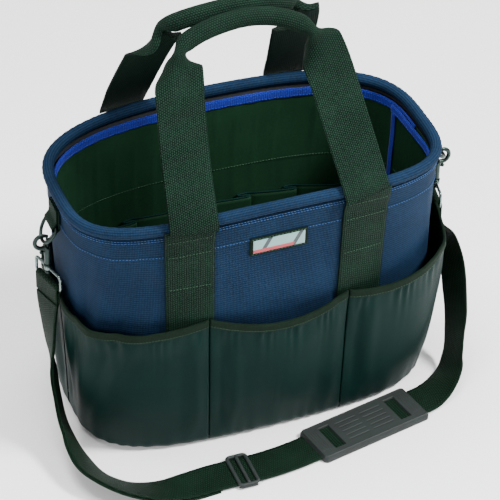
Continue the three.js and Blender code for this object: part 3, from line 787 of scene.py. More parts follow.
@dataclass(frozen=True)
class Plan:
    """The oval that every wall follows: bigger at the rim than at the base, and dipping at both ends.

    Attributes:
        rim_height: Centre of the padded rim at the middle of the long faces.
        rim_droop: How much lower the rim is at the ends.
        length_top: Half length of the canvas under the rim.
        length_base: Half length at the floor.
        depth_top: Half depth under the rim.
        depth_base: Half depth at the floor.
        squareness: Exponent of the oval: 2 is an ellipse, more is squarer.
        edge_radius: Rounding of the bottom edge.
    """

    rim_height: float = 290.0
    rim_droop: float = 12.0
    length_top: float = 195.5
    length_base: float = 184.0
    depth_top: float = 104.5
    depth_base: float = 95.0
    squareness: float = 3.3
    edge_radius: float = 9.0
    table: np.ndarray = field(init=False, repr=False)

    def __post_init__(self) -> None:
        """Measures the oval once, so that steps round it are even."""
        a, b = self.half_sizes(self.rim_height / 2)
        angles = np.linspace(0, 2 * math.pi, 2881)
        x, y = self.oval(angles, a, b)
        steps = np.concatenate([[0], np.cumsum(np.hypot(np.diff(x), np.diff(y)))])
        object.__setattr__(self, "table", np.stack([steps / steps[-1], angles, x]))

    def half_sizes(self, z: Number) -> tuple[Number, Number]:
        """The oval's size at a height.

        Args:
            z: Height.

        Returns:
            Half its length and half its depth.
        """
        rise = np.asarray(z, float) / self.rim_height
        return (self.length_base + (self.length_top - self.length_base) * rise,
                self.depth_base + (self.depth_top - self.depth_base) * rise)

    def oval(self, angle: Number, a: Number, b: Number) -> tuple[Number, Number]:
        """A point on a plain oval.

        Args:
            angle: 0 is the left end and a quarter turn is the front.
            a: Half length.
            b: Half depth.

        Returns:
            X and Y.
        """
        power = 2 / self.squareness
        cos, sin = np.cos(angle), np.sin(angle)
        return -a * np.sign(cos) * np.abs(cos) ** power, -b * np.sign(sin) * np.abs(sin) ** power

    def front_turn(self, x: float) -> float:
        """The turn, 0 to 0.5, where the front face is at x."""
        half = self.table.shape[1] // 2 + 1
        return float(np.interp(x, self.table[2, :half], self.table[0, :half]))

    def point(self, turn: Number, z: Number, offset: Number) -> np.ndarray:
        """A point on the wall.

        Args:
            turn: 0 left end, 0.25 front, 0.5 right end, 0.75 rear.
            z: Height.
            offset: Distance outside the canvas face.

        Returns:
            Points, with xyz as the last axis.
        """
        turn, z, offset = np.broadcast_arrays(*(np.asarray(v, float) for v in (turn, z, offset)))
        a, b = self.half_sizes(z)
        angle = np.interp(turn % 1.0, self.table[0], self.table[1])
        x, y = self.oval(angle, a, b)
        n = self.squareness
        nx = np.sign(x) * np.abs(x / a) ** (n - 1) / a
        ny = np.sign(y) * np.abs(y / b) ** (n - 1) / b
        size = np.hypot(nx, ny)
        r = self.edge_radius
        inset = np.where(z < r, r - np.sqrt(np.maximum(r * r - (r - z) ** 2, 0)), 0)
        out = offset - inset + self.ripple(turn, z)
        droop = self.rim_droop * (x / a) ** 2 * np.clip(z / self.rim_height, 0, 1) ** 3
        return np.stack([x + nx / size * out, y + ny / size * out, z - droop], -1)

    def ripple(self, turn: Number, z: Number) -> Number:
        """The soft wall's unevenness.

        Args:
            turn: Place round the wall.
            z: Height.

        Returns:
            How far the wall bellies or creases outwards, in mm.
        """
        envelope = np.sin(math.pi * np.clip(z / self.rim_height, 0, 1)) ** 0.8
        wide = swell(turn * 2 * math.pi * 3, z / 70, 2.0)
        total = 1.3 * wide
        for at, lean, size, width in self.creases():
            away = ((turn - at) * GIRTH - (z - 200) * lean) / width
            total = total + size * np.exp(-away ** 2)
        return total * envelope

    @staticmethod
    def creases() -> tuple[tuple[float, float, float, float], ...]:
        """Standing creases at the corners: turn, lean, height in mm and half width in mm."""
        return ((0.052, 0.16, -2.4, 8), (0.075, 0.22, 2.2, 7), (0.1, 0.3, -2.0, 7),
                (0.125, 0.42, 1.2, 8), (0.3, -0.3, -1.1, 9), (0.43, -0.2, 1.8, 8),
                (0.455, -0.1, -1.8, 8), (0.94, 0.2, 1.6, 7), (0.57, -0.15, -1.5, 8))

    def outward(self, turn: Number, z: Number) -> np.ndarray:
        """The direction straight out of the wall."""
        return unit(self.point(turn, z, 1.0) - self.point(turn, z, 0.0))


PLAN = Plan()


def band(name: str, turns: np.ndarray, heights: np.ndarray, outer: Callable, thickness: float,
         wrap: bool = False) -> bpy.types.Object:
    """Makes a cloth band on the wall.

    Args:
        name: The object's name.
        turns: Where its columns are.
        heights: Heights of its rows: one list, or one row of heights per column.
        outer: Offset of its outer side, from a grid of turns and heights.
        thickness: Thickness of the cloth.
        wrap: Whether it runs all the way round.

    Returns:
        The new object.
    """
    grid_t = np.broadcast_to(turns, (len(heights), len(turns)))
    grid_z = heights if np.ndim(heights) == 2 else np.broadcast_to(np.asarray(heights)[:, None], grid_t.shape)
    offset = outer(grid_t, grid_z)
    return sheet_object(name, PLAN.point(grid_t, grid_z, offset),
                        PLAN.point(grid_t, grid_z, offset - thickness), wrap)


def wall_stitches(name: str, turns: np.ndarray, heights: Number, offset: Number) -> bpy.types.Object:
    """Makes a row of stitches that follows the wall.

    Args:
        name: The object's name.
        turns: Points along the row.
        heights: Height of the row, or one for each point.
        offset: How far outside the canvas the cloth is there; negative rows face inwards.

    Returns:
        The new object.
    """
    heights = np.broadcast_to(np.asarray(heights, float), turns.shape)
    path = PLAN.point(turns, heights, offset)
    out = PLAN.outward(turns, heights)
    inward = np.mean(offset) < -1
    return stitch_row(name, path, -out if inward else out)


ALL_ROUND = np.linspace(0, 1, 420, endpoint=False)

# ---- body of the bag --------------------------------------------------------------------------------


@dataclass
class Shell:
    """Canvas wall, its bottom, the padded rim and their stitching."""

    canvas: float = 1.6
    padding: float = 2.2
    padding_low: float = 26.0
    top: float = 283.4
    low: float = 0.8
    roll: float = 6.0
    roll_in: float = -2.5
    roll_cloth: float = 1.2
    rows: int = 70
    seam_heights: tuple[float, ...] = (281.2, 278.6, 257.0)

    def build(self) -> None:
        """Builds the canvas, base, rim and stitches."""
        heights = np.concatenate([np.linspace(self.low, 22, 10), np.linspace(26, self.top, self.rows)])
        wall = band("canvas_wall", ALL_ROUND, heights, lambda t, z: 0 * z, self.canvas, wrap=True)
        dress(wall, NAVY_CANVAS, "bag", "outer_shell")
        inner = -self.canvas - GAP
        pad = band("wall_padding", ALL_ROUND, np.linspace(self.padding_low, self.top - 2, 30),
                   lambda t, z: inner + 0 * z, self.padding, wrap=True)
        dress(pad, CELL_FOAM, "bag", "wall_stiffener")
        self.base()
        self.rim()
        for number, height in enumerate(self.seam_heights):
            row = wall_stitches(f"rim_stitches_{number}", np.linspace(0, 1, 900), height, 0.3)
            dress(row, NAVY_THREAD, "bag")

    def base(self) -> None:
        """Builds the cloth bottom, pulled over the rounded edge."""
        shares = np.linspace(0.02, 1, 14)[:, None]
        edge = PLAN.point(ALL_ROUND, self.low + 0.4, 0.0)[None]
        bottom = edge * np.stack([shares, shares, np.ones_like(shares)], -1)
        bottom[..., 2] = 0.15 + 0.6 * smooth(shares, 0.94, 1.0)
        lifted = bottom + np.array([0, 0, 1.3])
        dress(sheet_object("cloth_bottom", bottom, lifted, wrap=True), PACK_CLOTH, "bag", "base_panel")

    def rim(self) -> None:
        """Builds the padded roll round the mouth, gathered a little at the corners."""
        turns = ALL_ROUND[None, :]
        angles = np.linspace(-0.5 * math.pi + 0.1, 1.5 * math.pi - 0.1, 26)[:, None]
        gather = 0.22 * np.sin(turns * 2 * math.pi * 130 + 2 * np.sin(turns * 40))
        corner = np.abs(np.sin(turns * 2 * math.pi)) < 0.93
        size = self.roll + 0.25 * swell(turns * 50, angles, 4.0) + gather * np.where(corner, 0.9, 0.35)
        outs = self.roll_in + size * np.cos(angles)
        rises = PLAN.rim_height + size * np.sin(angles)
        outer = PLAN.point(turns + 0 * outs, rises, outs)
        core = size - self.roll_cloth
        inner = PLAN.point(turns + 0 * outs, PLAN.rim_height + core * np.sin(angles),
                           self.roll_in + core * np.cos(angles))
        dress(sheet_object("padded_rim", outer, inner, wrap=True), NAVY_CANVAS, "bag", "rim_roll")


@dataclass
class Lining:
    """Drop-in lining with its blue bound edge, seam tape and cross seam."""

    face: float = -6.4
    cloth: float = 0.5
    cove: float = 8.0
    cross_seam: float = 195.0
    low: float = 5.4
    top: float = 279.0
    tape_height: float = 11.0
    tape_lift: float = 1.4
    tape_top: float = 280.5
    lap_start: float = 0.5
    lap_turns: float = 1.045
    seam_x: float = 186.0

    def folds(self, turn: Number, z: Number) -> Number:
        """The loose cloth's folds.

        Args:
            turn: Place round the wall.
            z: Height.

        Returns:
            How far the cloth stands in from the wall, in mm.
        """
        depth = 0.8 + 0.9 * swell(turn * 2 * math.pi * 9, z / 160, 7.0) + 0.5 * swell(turn * 150, z / 60, 3.0)
        pinch = 0.8 * np.maximum(np.sin(turn * 2 * math.pi * 46 + np.sin(z / 40)), 0) ** 3
        loose = smooth(self.top - z, 0, 30) * smooth(z, 6, 40)
        return np.clip(depth + pinch * smooth(z, 120, 260), 0, 2.4) * loose

    def build(self) -> None:
        """Builds the lining wall and floor, the binding, the tapes and their stitches."""
        heights = np.concatenate([np.linspace(self.low + 1, 30, 8), np.linspace(36, self.top, 64)])
        cove = self.cove
        wall = band("lining_wall", ALL_ROUND, heights,
                    lambda t, z: self.face - cove * (1 - smooth(z, self.low, 30)) ** 2 - self.folds(t, z),
                    self.cloth, wrap=True)
        shares = np.linspace(0.03, 1, 16)[:, None]
        edge = PLAN.point(ALL_ROUND, self.low + 1, self.face - cove)[None]
        floor = edge * np.stack([shares, shares, np.ones_like(shares)], -1)
        sway = 0.35 * swell(floor[..., 0] / 30, floor[..., 1] / 30, 5.0)
        floor[..., 2] = self.low + 1 + sway * (1 - shares ** 6)
        carpet = sheet_object("lining_floor", floor, floor - np.array([0, 0, self.cloth]), wrap=True)
        dress(joined([wall, carpet], "lining_cloth"), LINING_NYLON, "bag", "lining")
        seam = wall_stitches("lining_cross_seam", np.linspace(0, 1, 700), self.cross_seam, self.face - 2.2)
        dress(seam, DARK_THREAD, "bag")
        self.binding()
        self.seam_tape()

    def binding(self) -> None:
        """Builds the blue tape, whose last stretch overlaps its start and stands off the wall."""
        v = np.linspace(0, 1, 420)
        turns = self.lap_start + self.lap_turns * v
        away = 4 * smooth(v, 0.9, 0.975)
        u = np.linspace(0, 1, 9)[:, None]
        crown = 0.45 * np.sin(math.pi * u)
        wave = 0.35 * np.sin(v * 2 * math.pi * 60) + 0.25 * np.sin(v * 2 * math.pi * 23 + 1)
        heights = self.tape_top - self.tape_height * (1 - u) + wave * (1 - u)
        offset = self.face - self.tape_lift - GAP - away + 0 * u
        outer = PLAN.point(turns, heights, offset - crown)
        inner = PLAN.point(turns, heights, offset + 0.9)
        dress(sheet_object("blue_mouth_tape", outer, inner), BLUE_TAPE, "bag", "lining_binding")
        for number, height in enumerate((self.tape_top - 2.2, self.tape_top - self.tape_height + 2.2)):
            path = PLAN.point(turns, height, self.face - self.tape_lift - GAP - away - 0.35)
            inwards = -PLAN.outward(turns, height + 0 * turns)
            row = stitch_row(f"mouth_tape_stitches_{number}", path, inwards, 3.4, 0.3)
            dress(row, BLUE_THREAD, "bag")

    def seam_tape(self) -> None:
        """Builds the blue tape down the lining's seam on the right end wall."""
        turn = 1 - PLAN.front_turn(self.seam_x)
        turns = turn + np.linspace(-0.0035, 0.0035, 5)
        heights = np.linspace(30, self.tape_top - self.tape_height - 2, 60)
        tape = band("lining_seam_binding", turns, heights,
                    lambda t, z: self.face - 2.4 + 0.3 * np.sin(z / 9), 0.7)
        dress(tape, BLUE_TAPE, "bag", "lining_seam_tape")


@dataclass
class InnerPockets:
    """A strip of pleated small pockets on a long inner wall, with a corded edge."""

    face: Face
    low: float = 34.0
    top: float = 158.0
    off: float = -8.4
    cloth: float = 0.5
    cord: float = 1.0
    seams: tuple[float, ...] = (-150, -93, -30, 36, 88, 150)

    def edge(self) -> np.ndarray:
        """The strip's path in plan: x along the wall and distance in from it, with a pleat at each seam."""
        first, *middle, last = self.seams
        path = [(first, 0.0), (first + 10, 2.5)]
        for seam in middle:
            path += [(seam - 14, 8.0), (seam + 3, 8.6), (seam + 6.2, 7.4), (seam + 3, 6.2), (seam - 6, 5.0),
                     (seam - 9, 3.7), (seam - 6, 2.4), (seam + 4, 2.0), (seam + 16, 5.0)]
        path += [(last - 16, 8.0), (last - 5, 4.5), (last, 0.0)]
        return np.array(path)

    def turns(self, x: np.ndarray) -> np.ndarray:
        """Turns of this face's wall at some x positions."""
        turns = np.array([PLAN.front_turn(v) for v in x])
        return turns if self.face is Face.FRONT else 1 - turns

    def build(self) -> None:
        """Builds the strip and its cord."""
        plan = Spline(self.edge()).at(np.linspace(0, 1, 300))
        turns, away = self.turns(plan[:, 0]), plan[:, 1]
        u = np.linspace(0, 1, 26)[:, None]
        gather = np.clip(u * 1.6, 0, 1) ** 0.7
        slack = 0.7 * swell(plan[:, 0] / 14, u * 3, 6.0) * np.sin(math.pi * u)
        offset = self.off - away * gather - np.clip(slack, -0.3, 0.9)
        heights = self.low + (self.top - self.low) * u + 0 * turns
        name = f"{self.face.value}_inner_pockets"
        strip = sheet_object(f"{name}_cloth", PLAN.point(turns, heights, offset - self.cloth),
                             PLAN.point(turns, heights, offset))
        dress(strip, LINING_NYLON, "bag", name)
        path = PLAN.point(turns, self.top + 0.8, self.off - away - 0.2)
        cord = tube_object(f"{name}_cord", path[::2], self.cord, 8)
        dress(cord, PACK_CLOTH, "bag", f"{name}_piping")


@dataclass
class OuterPocket:
    """One gathered outer pocket with a folded tape along its mouth.

    Attributes:
        face: The long face it is on.
        name: Its place: left, middle or right.
        start: Turn of its first seam on the front.
        end: Turn of its last seam.
        mouth_start: Height of the mouth at the first seam.
        mouth_end: Height of the mouth at the last seam.
        sag: How far the mouth dips between them.
        climb: How late the mouth rises.
        bulge: How far it stands off the wall.
        low: Height of its foot.
        cloth: Room for its cloth and seams.
        seen_cloth: Thickness of the cloth itself.
        standoff: Distance from the canvas at its seams.
        tape: Height of the tape on its mouth.
        tape_cloth: Thickness of the tape.
        inset: Gap beside each seam, in turns.
    """

    face: Face
    name: str
    start: float
    end: float
    mouth_start: float
    mouth_end: float
    sag: float
    climb: float
    bulge: float
    low: float = 1.2
    cloth: float = 1.4
    seen_cloth: float = 0.9
    standoff: float = 3.9
    tape: float = 9.0
    tape_cloth: float = 0.5
    inset: float = 0.0007

    def mouth(self, v: Number) -> Number:
        """Height of the mouth at a share of the pocket's width."""
        rise = (self.mouth_end - self.mouth_start) * v ** self.climb
        return self.mouth_start + rise - self.sag * np.sin(math.pi * v)

    def offset(self, z: Number, v: Number) -> Number:
        """Distance of the cloth from the canvas, before its small folds.

        Args:
            z: Heights.
            v: Shares of the width.

        Returns:
            The distance, in mm.
        """
        h = np.clip((z - self.low) / (self.mouth(v) - self.low), 0, 1)
        across = np.abs(np.sin(math.pi * v)) ** 0.8
        upward = np.sin(0.5 * math.pi * np.clip(h * 1.25, 0, 1)) ** 0.8
        return self.standoff + self.bulge * across * upward

    def folds(self, z: Number, v: Number, width: float) -> Number:
        """Gathers under the tape, puckers at the foot and slack folds between, in mm.

        Args:
            z: Heights.
            v: Shares of the width.
            width: Width of the pocket, in mm.

        Returns:
            How far the cloth stands proud of its plain shape.
        """
        seed = sum(map(ord, self.name)) * 0.37
        side = np.clip(4 * v * (1 - v), 0, 1) ** 0.5
        below = self.mouth(v) - self.tape - z
        open_part = smooth(z, 8, 50) * smooth(below, 0, 30)
        waves = v * width * 2 * math.pi
        pull = np.sin(waves / 9.5 + 2.4 * np.sin(v * 17 + seed)) * (0.55 + 0.45 * np.sin(v * 27 + seed))
        gather = 2.1 * pull * np.exp(-np.maximum(below, 0) / 15) * smooth(below, -2, 5)
        foot = 0.6 * np.sin(waves / 17 + 2.2 * np.sin(v * 11 + seed)) * np.exp(-np.maximum(z - 4, 0) / 14)
        slack = 2.1 * swell(v * width / 24 + z / 80, z / 55 - v * 1.5, seed) * open_part
        drape = 2.2 * swell(v * width / 55, z / 120, seed + 3) * open_part
        start = v * width
        valley = -2.6 * np.exp(-((start - 13) / 6) ** 2) + 1.5 * np.exp(-((start - 27) / 7) ** 2)
        left = width - start
        ridge = 2.0 * np.exp(-((left - 13) / 7) ** 2) - 1.2 * np.exp(-((left - 30) / 9) ** 2)
        return (gather + foot + slack + drape) * side + (valley + ridge) * open_part

    def build(self) -> None:
        """Builds the pocket, its tape and the tape's stitches."""
        width = (self.end - self.start) * GIRTH
        columns = max(int(width / 1.7), 40)
        v = np.linspace(0, 1, columns)
        turns = self.start + self.inset + (self.end - self.start - 2 * self.inset) * v
        if self.face is Face.REAR:
            turns = 1 - turns
        node = f"{self.face.value}_pocket_{self.name}"
        u = np.linspace(0, 1, 74)[:, None]
        z = self.low + (self.mouth(v) - 1.0 - self.low) * u ** 1.15
        out = self.offset(z, v) + self.cloth + self.folds(z, v, width)
        out = np.maximum(out, 1.6 + 1.4 * smooth(z, 0, 10))
        cloth = sheet_object(f"{node}_cloth", PLAN.point(turns, z, out),
                             PLAN.point(turns, z, out - self.seen_cloth))
        dress(cloth, PACK_CLOTH, "bag", node)
        self.bind(node, turns, v)

    def bind(self, node: str, turns: np.ndarray, v: np.ndarray) -> None:
        """Folds a tape over the mouth and stitches it.

        Args:
            node: The pocket's name in the model.
            turns: Turns of the columns.
            v: Shares of the width of the columns.
        """
        mouth = self.mouth(v)
        rest = self.offset(mouth, v) + self.cloth
        fold = [(-self.tape, 0.9), (-self.tape * 0.5, 1.15), (-1.0, 1.1), (0.2, 0.6), (0.5, -0.5),
                (0.2, -1.6), (-1.0, -2.1), (-self.tape * 0.5, -2.1), (-self.tape, -1.9)]
        profile = Spline(fold).at(np.linspace(0, 1, 22))
        wave = 0.3 * np.sin(v * 60) * np.ones((22, 1))
        drop = self.offset(mouth[None] + profile[:, :1], v) - self.offset(mouth, v)
        outer = PLAN.point(turns, mouth + profile[:, :1], rest + drop + profile[:, 1:] + wave * 0.5)
        tape = sheet_object(f"{node}_tape", outer)
        thick = tape.modifiers.new("thickness", "SOLIDIFY")
        thick.thickness = self.tape_cloth * MM
        thick.offset = -1
        dress(tape, POCKET_TAPE, "bag", f"{node}_binding")
        sunk = mouth - self.tape + 1.5
        path = PLAN.point(turns, sunk, self.offset(sunk, v) + self.cloth + 1.25 + wave[0] * 0.5)
        row = stitch_row(f"{node}_stitches", path, PLAN.outward(turns, sunk), 3.0, 0.28)
        dress(row, DARK_THREAD, "bag")


@dataclass
class HandleTails:
    """The flat ends of a handle's webbing, sewn down a long face."""

    face: Face
    middles: tuple[tuple[str, float], ...] = (("left", LEFT_LEG), ("right", RIGHT_LEG))
    width: float = 48.0
    thickness: float = 2.0
    low: float = 24.0
    top: float = 290.0
    over: float = 3.9
    stitch_heights: tuple[float, ...] = (277.5, 256.5, 214.0)

    def lift(self, turn: Number, z: Number) -> Number:
        """How far out the tail's face is, as it climbs over the rim at any turn."""
        return GAP + (self.over - GAP) * smooth(z, 262, 284) + self.thickness

    def build(self) -> None:
        """Builds both tails and their cross stitches."""
        for side, x in self.middles:
            turns = np.linspace(PLAN.front_turn(x - self.width / 2), PLAN.front_turn(x + self.width / 2), 15)
            if self.face is Face.REAR:
                turns = 1 - turns
            node = f"{self.face.value}_handle_tail_{side}"
            tail = band(f"{node}_web", turns, np.linspace(self.low, self.top, 90), self.lift, self.thickness)
            dress(tail, HANDLE_WEBBING, "bag", node)
            span = np.linspace(turns[1], turns[-2], 40)
            for number, height in enumerate(self.stitch_heights):
                raised = float(self.lift(0, height)) + 0.1
                row = wall_stitches(f"{node}_stitches_{number}", span, height, raised)
                dress(row, DARK_THREAD, "bag")


@dataclass
class Badge:
    """The woven label on the front, on a dark patch."""

    x: float = -2.0
    z: float = 248.0
    patch: tuple[float, float, float] = (29.5, 10.5, 1.0)
    label: tuple[float, float, float] = (26.5, 7.8, 0.6)
    margin: float = 1.4
    stitch_rise: float = 9.2

    def layer(self, name: str, size: tuple[float, float, float], lift: float) -> bpy.types.Object:
        """Makes one flat layer with its edge slightly rounded.

        Args:
            name: The object's name.
            size: Half length, half height and thickness.
            lift: Its underside's distance from the canvas.

        Returns:
            The new object.
        """
        length, height, thick = size
        turns = np.linspace(PLAN.front_turn(self.x - length), PLAN.front_turn(self.x + length), 41)
        heights = np.linspace(self.z - height, self.z + height, 13)
        return band(name, turns, heights, lambda t, z: lift + thick + 0 * z, thick)

    def build(self) -> None:
        """Builds the patch, the label and the stitches round it."""
        dress(self.layer("label_patch", self.patch, GAP), POCKET_TAPE, "bag", "badge_patch")
        dress(self.layer("label_face", self.label, GAP + self.patch[2] + 0.1), LABEL, "bag", "badge_face")
        reach = self.patch[0] - self.margin
        turns = np.linspace(PLAN.front_turn(self.x - reach), PLAN.front_turn(self.x + reach), 40)
        for number, height in enumerate((self.z - self.stitch_rise, self.z + self.stitch_rise)):
            row = wall_stitches(f"label_stitches_{number}", turns, height, GAP + self.patch[2] + 0.1)
            dress(row, DARK_THREAD, "bag")


# ---- carry handles ----------------------------------------------------------------------------------


@dataclass
class CarryHandle:
    """Webbing that is flat on its legs and folded edge to edge round a core at the grip."""

    face: Face
    width: float = 48.0
    thickness: float = 2.0
    lean: float = 31.5
    hinge_y: float = 109.0
    hinge_z: float = 291.0
    fold: float = 0.93
    lap: float = 7.0
    legs_from: float = 50.0
    route: tuple[tuple[float, float], ...] = (
        (-91.3, -7), (-91, 0), (-88.5, 55), (-84, 110), (-80, 140), (-78, 158), (-73, 170.5), (-58, 179),
        (-34, 185), (-8, 187.5), (16, 185), (36, 178.5), (51, 170), (60, 160), (65, 146), (70, 124),
        (78, 68), (87.5, 0), (88.5, -7))

    def place(self, points: np.ndarray) -> np.ndarray:
        """Maps handle space to the bag and bends the legs' feet to the curve of the wall.

        Args:
            points: X along the bag, y up the leaning plane and z out of the plane.

        Returns:
            The points in the bag's frame.
        """
        lean = math.radians(self.lean)
        x, rise = points[..., 0], points[..., 1]
        y = -self.hinge_y + rise * math.sin(lean) - points[..., 2] * math.cos(lean)
        half_length, half_depth = PLAN.half_sizes(self.hinge_z)
        n = PLAN.squareness
        depth = lambda at: half_depth * (1 - np.abs(at / half_length) ** n) ** (1 / n)
        bend = depth(np.where(x < 0, LEFT_LEG, RIGHT_LEG)) - depth(x)
        y = y + bend * (1 - smooth(rise, 0, 45)) * (np.abs(x) > self.legs_from)
        y = y + 1.6 * (1 - smooth(rise, -self.lap, 0))
        z = self.hinge_z + points[..., 1] * math.cos(lean) + points[..., 2] * math.sin(lean)
        side = 1 if self.face is Face.FRONT else -1
        return np.stack([points[..., 0], side * y, z], -1)

    def section(self, v: float, layer: float, x: np.ndarray) -> np.ndarray:
        """The webbing's cross section.

        Args:
            v: Share of the handle's length.
            layer: Distance from the webbing's middle layer.
            x: Places across the width, in mm; the hand's side is positive on the left leg.

        Returns:
            Across and outward distances, one row per place.
        """
        end = min(v, 1 - v)
        outer_fold = float(smooth(end, 0.25, 0.356))
        inner_fold = float(smooth(end, 0.322, 0.353))
        pinch = 1 - 0.36 * math.exp(-((end - 0.354) / 0.014) ** 2)
        points = []
        for place in x:
            bend = max(inner_fold if place > 0 else outer_fold, 0.002) * self.fold
            curve = 2 * math.pi * bend / self.width
            radius = 1 / curve
            points.append([(radius + layer) * math.sin(place * curve),
                           (radius + layer) * math.cos(place * curve) - radius])
        section = np.array(points) * pinch
        closing = min(outer_fold, inner_fold)
        section[:, 1] += closing * self.width / (2 * math.pi * self.fold)
        return section

    def build(self) -> None:
        """Builds the webbing and gives the grip's core its foam finish."""
        curve = Spline(self.route)
        shares = np.linspace(0, 1, 260)
        middle = curve.at(shares)
        along = unit(np.gradient(middle, axis=0))
        x = np.linspace(-0.5, 0.5, 33) * self.width
        layers = []
        for sign in (1, -1):
            rows = []
            for v, here, way in zip(shares, middle, along):
                flip = 1 if v < 0.5 else -1
                layer = sign * self.thickness * (0.5 - 0.32 * (1 - float(smooth(here[1], -self.lap, 3))))
                section = self.section(v, layer, x * flip)
                across = np.array([way[1], -way[0]])
                offset = section[:, :1] * flip * across
                rows.append(np.column_stack([here + offset, section[:, 1]]))
            layers.append(self.place(np.array(rows)))
        node = f"{self.face.value}_handle"
        dress(sheet_object(f"{node}_web", layers[0], layers[1]), HANDLE_WEBBING, node, f"{node}_webbing")
        coat(f"{node}_grip_core", CELL_FOAM)


# ---- end hardware -----------------------------------------------------------------------------------


@dataclass
class EndHardware:
    """Everything that hangs on one end: tab, D-ring, bolt-snap hook, swivel bail and strap loop.

    Attributes:
        end: The end it hangs on.
        y: Where it hangs along the end wall.
        bar_z: Height of the D-ring's straight bar.
        swing: How far the D-ring leans out, in degrees.
        bail_turn: How far the bail is turned about the hook, in degrees.
    """

    end: End
    y: float
    bar_z: float
    swing: float
    bail_turn: float
    tab_width: float = 25.0
    tab_top: float = 22.0
    tab_thickness: float = 1.7
    ring_half: float = 14.5
    ring_straight: float = 7.0
    ring_corner: float = 3.0
    wire: float = 1.8
    eye_radius: float = 7.6
    hook_wire: float = 2.2
    bolt_x: float = 5.2
    coils: int = 7
    coil_radius: float = 2.0
    coil_wire: float = 0.22
    rod: float = 1.6
    stem_z: float = -12.5
    shank_low: float = -31.5
    bail_half: float = 22.3
    bail_drop: float = 17.0
    bail_wire: float = 1.5
    bail_corner: float = 3.5
    strap_width: float = 38.0
    strap_thickness: float = 1.6

    def __post_init__(self) -> None:
        """Works out the ring bar's distance from the bag and the names of this end's bodies."""
        self.name = self.end.name.lower()
        self.eye = self.wire + 0.8
        tab_top = self.bar_z + self.tab_top + PLAN.rim_droop
        self.bar_x = abs(float(PLAN.half_sizes(tab_top)[0])) + GAP + self.eye + 1.8
        drop = self.ring_straight + self.ring_half
        lean = math.radians(self.swing)
        seat = self.eye_radius - self.hook_wire - self.wire - GAP
        self.hang = np.array([drop * math.sin(lean), 0, -drop * math.cos(lean) - seat])

    def place(self, points: np.ndarray) -> np.ndarray:
        """Maps this end's space to the bag.

        Args:
            points: X away from the bag and z up, from the ring's bar.

        Returns:
            The points in the bag's frame.
        """
        side = self.end.value
        return np.stack([side * (self.bar_x + points[..., 0]), self.y + side * points[..., 1],
                         self.bar_z + points[..., 2]], -1)

    def hung(self, points: np.ndarray) -> np.ndarray:
        """Maps hook space, from the eye's centre, to the bag."""
        return self.place(points + self.hang)

    def swivelled(self, points: np.ndarray) -> np.ndarray:
        """Maps bail space to the bag.

        Args:
            points: Points from the neck of the hook, before the bail turns.

        Returns:
            The points in the bag's frame.
        """
        turn = math.radians(self.bail_turn)
        x = points[..., 0] * math.cos(turn) - points[..., 1] * math.sin(turn)
        y = points[..., 0] * math.sin(turn) + points[..., 1] * math.cos(turn)
        return self.hung(np.stack([x - self.bolt_x, y, points[..., 2] + self.shank_low - 1.2], -1))

    def build(self) -> None:
        """Builds all the pieces of this end."""
        self.tab()
        self.ring()
        self.hook()
        self.bolt()
        self.bail()
        self.strap_loop()

    def ribbon(self, name: str, path: np.ndarray, width: float, thickness: float,
               place: Callable) -> bpy.types.Object:
        """Makes flat webbing that follows a path in the XZ plane.

        Args:
            name: The object's name.
            path: X and Z of its middle layer.
            width: Its width along Y.
            thickness: Its thickness.
            place: Maps local points to the bag.

        Returns:
            The new object.
        """
        along = unit(np.gradient(path, axis=0))
        normal = np.stack([-along[:, 1], along[:, 0]], -1) * thickness / 2
        y = np.linspace(-width / 2, width / 2, 11)
        sides = []
        for sign in (1, -1):
            line = path + sign * normal
            sides.append(np.stack([np.broadcast_to(line[:, :1], (len(path), 11)),
                                   np.broadcast_to(y, (len(path), 11)),
                                   np.broadcast_to(line[:, 1:], (len(path), 11))], -1))
        return sheet_object(name, place(sides[0]), place(sides[1]))

    def tab(self) -> None:
        """Builds the webbing tab round the ring's bar."""
        r = self.eye + 0.9
        arc = [(r * math.cos(a), r * math.sin(a)) for a in np.linspace(math.pi, 2.22 * math.pi, 16)]
        path = [(-r, self.tab_top), (-r, 10)] + arc + [(-0.4, 6.0), (-r + 2.2, 9.5), (-r + 2.0, self.tab_top)]
        line = Spline(path).at(np.linspace(0, 1, 60))
        tab = self.ribbon(f"{self.name}_tab_web", line, self.tab_width, self.tab_thickness, self.place)
        dress(tab, HANDLE_WEBBING, "bag", f"{self.name}_ring_tab")

    def ring(self) -> None:
        """Builds the D-ring: a straight bar and a round bow."""
        half, corner = self.ring_half, self.ring_corner
        turn = np.linspace(math.pi, 2 * math.pi, 32)
        bow = np.stack([half * np.cos(turn), half * np.sin(turn) - self.ring_straight], -1)
        left = rounded_loop(((-half + corner, -corner, 0.5),), corner, 6)
        right = rounded_loop(((half - corner, -corner, 0.0),), corner, 6)
        flat = Spline([*left, *bow, *right], closed=True).at(np.linspace(0, 1, 100, endpoint=False))
        lean = math.radians(self.swing)
        path = np.stack([-flat[:, 1] * math.sin(lean), flat[:, 0], flat[:, 1] * math.cos(lean)], -1)
        ring = tube_object(f"{self.name}_ring_wire", self.place(path), self.wire, 16, closed=True,
                           hint=(1, 0, 0))
        dress(ring, DARK_NICKEL, f"{self.name}_ring", f"{self.name}_d_ring")

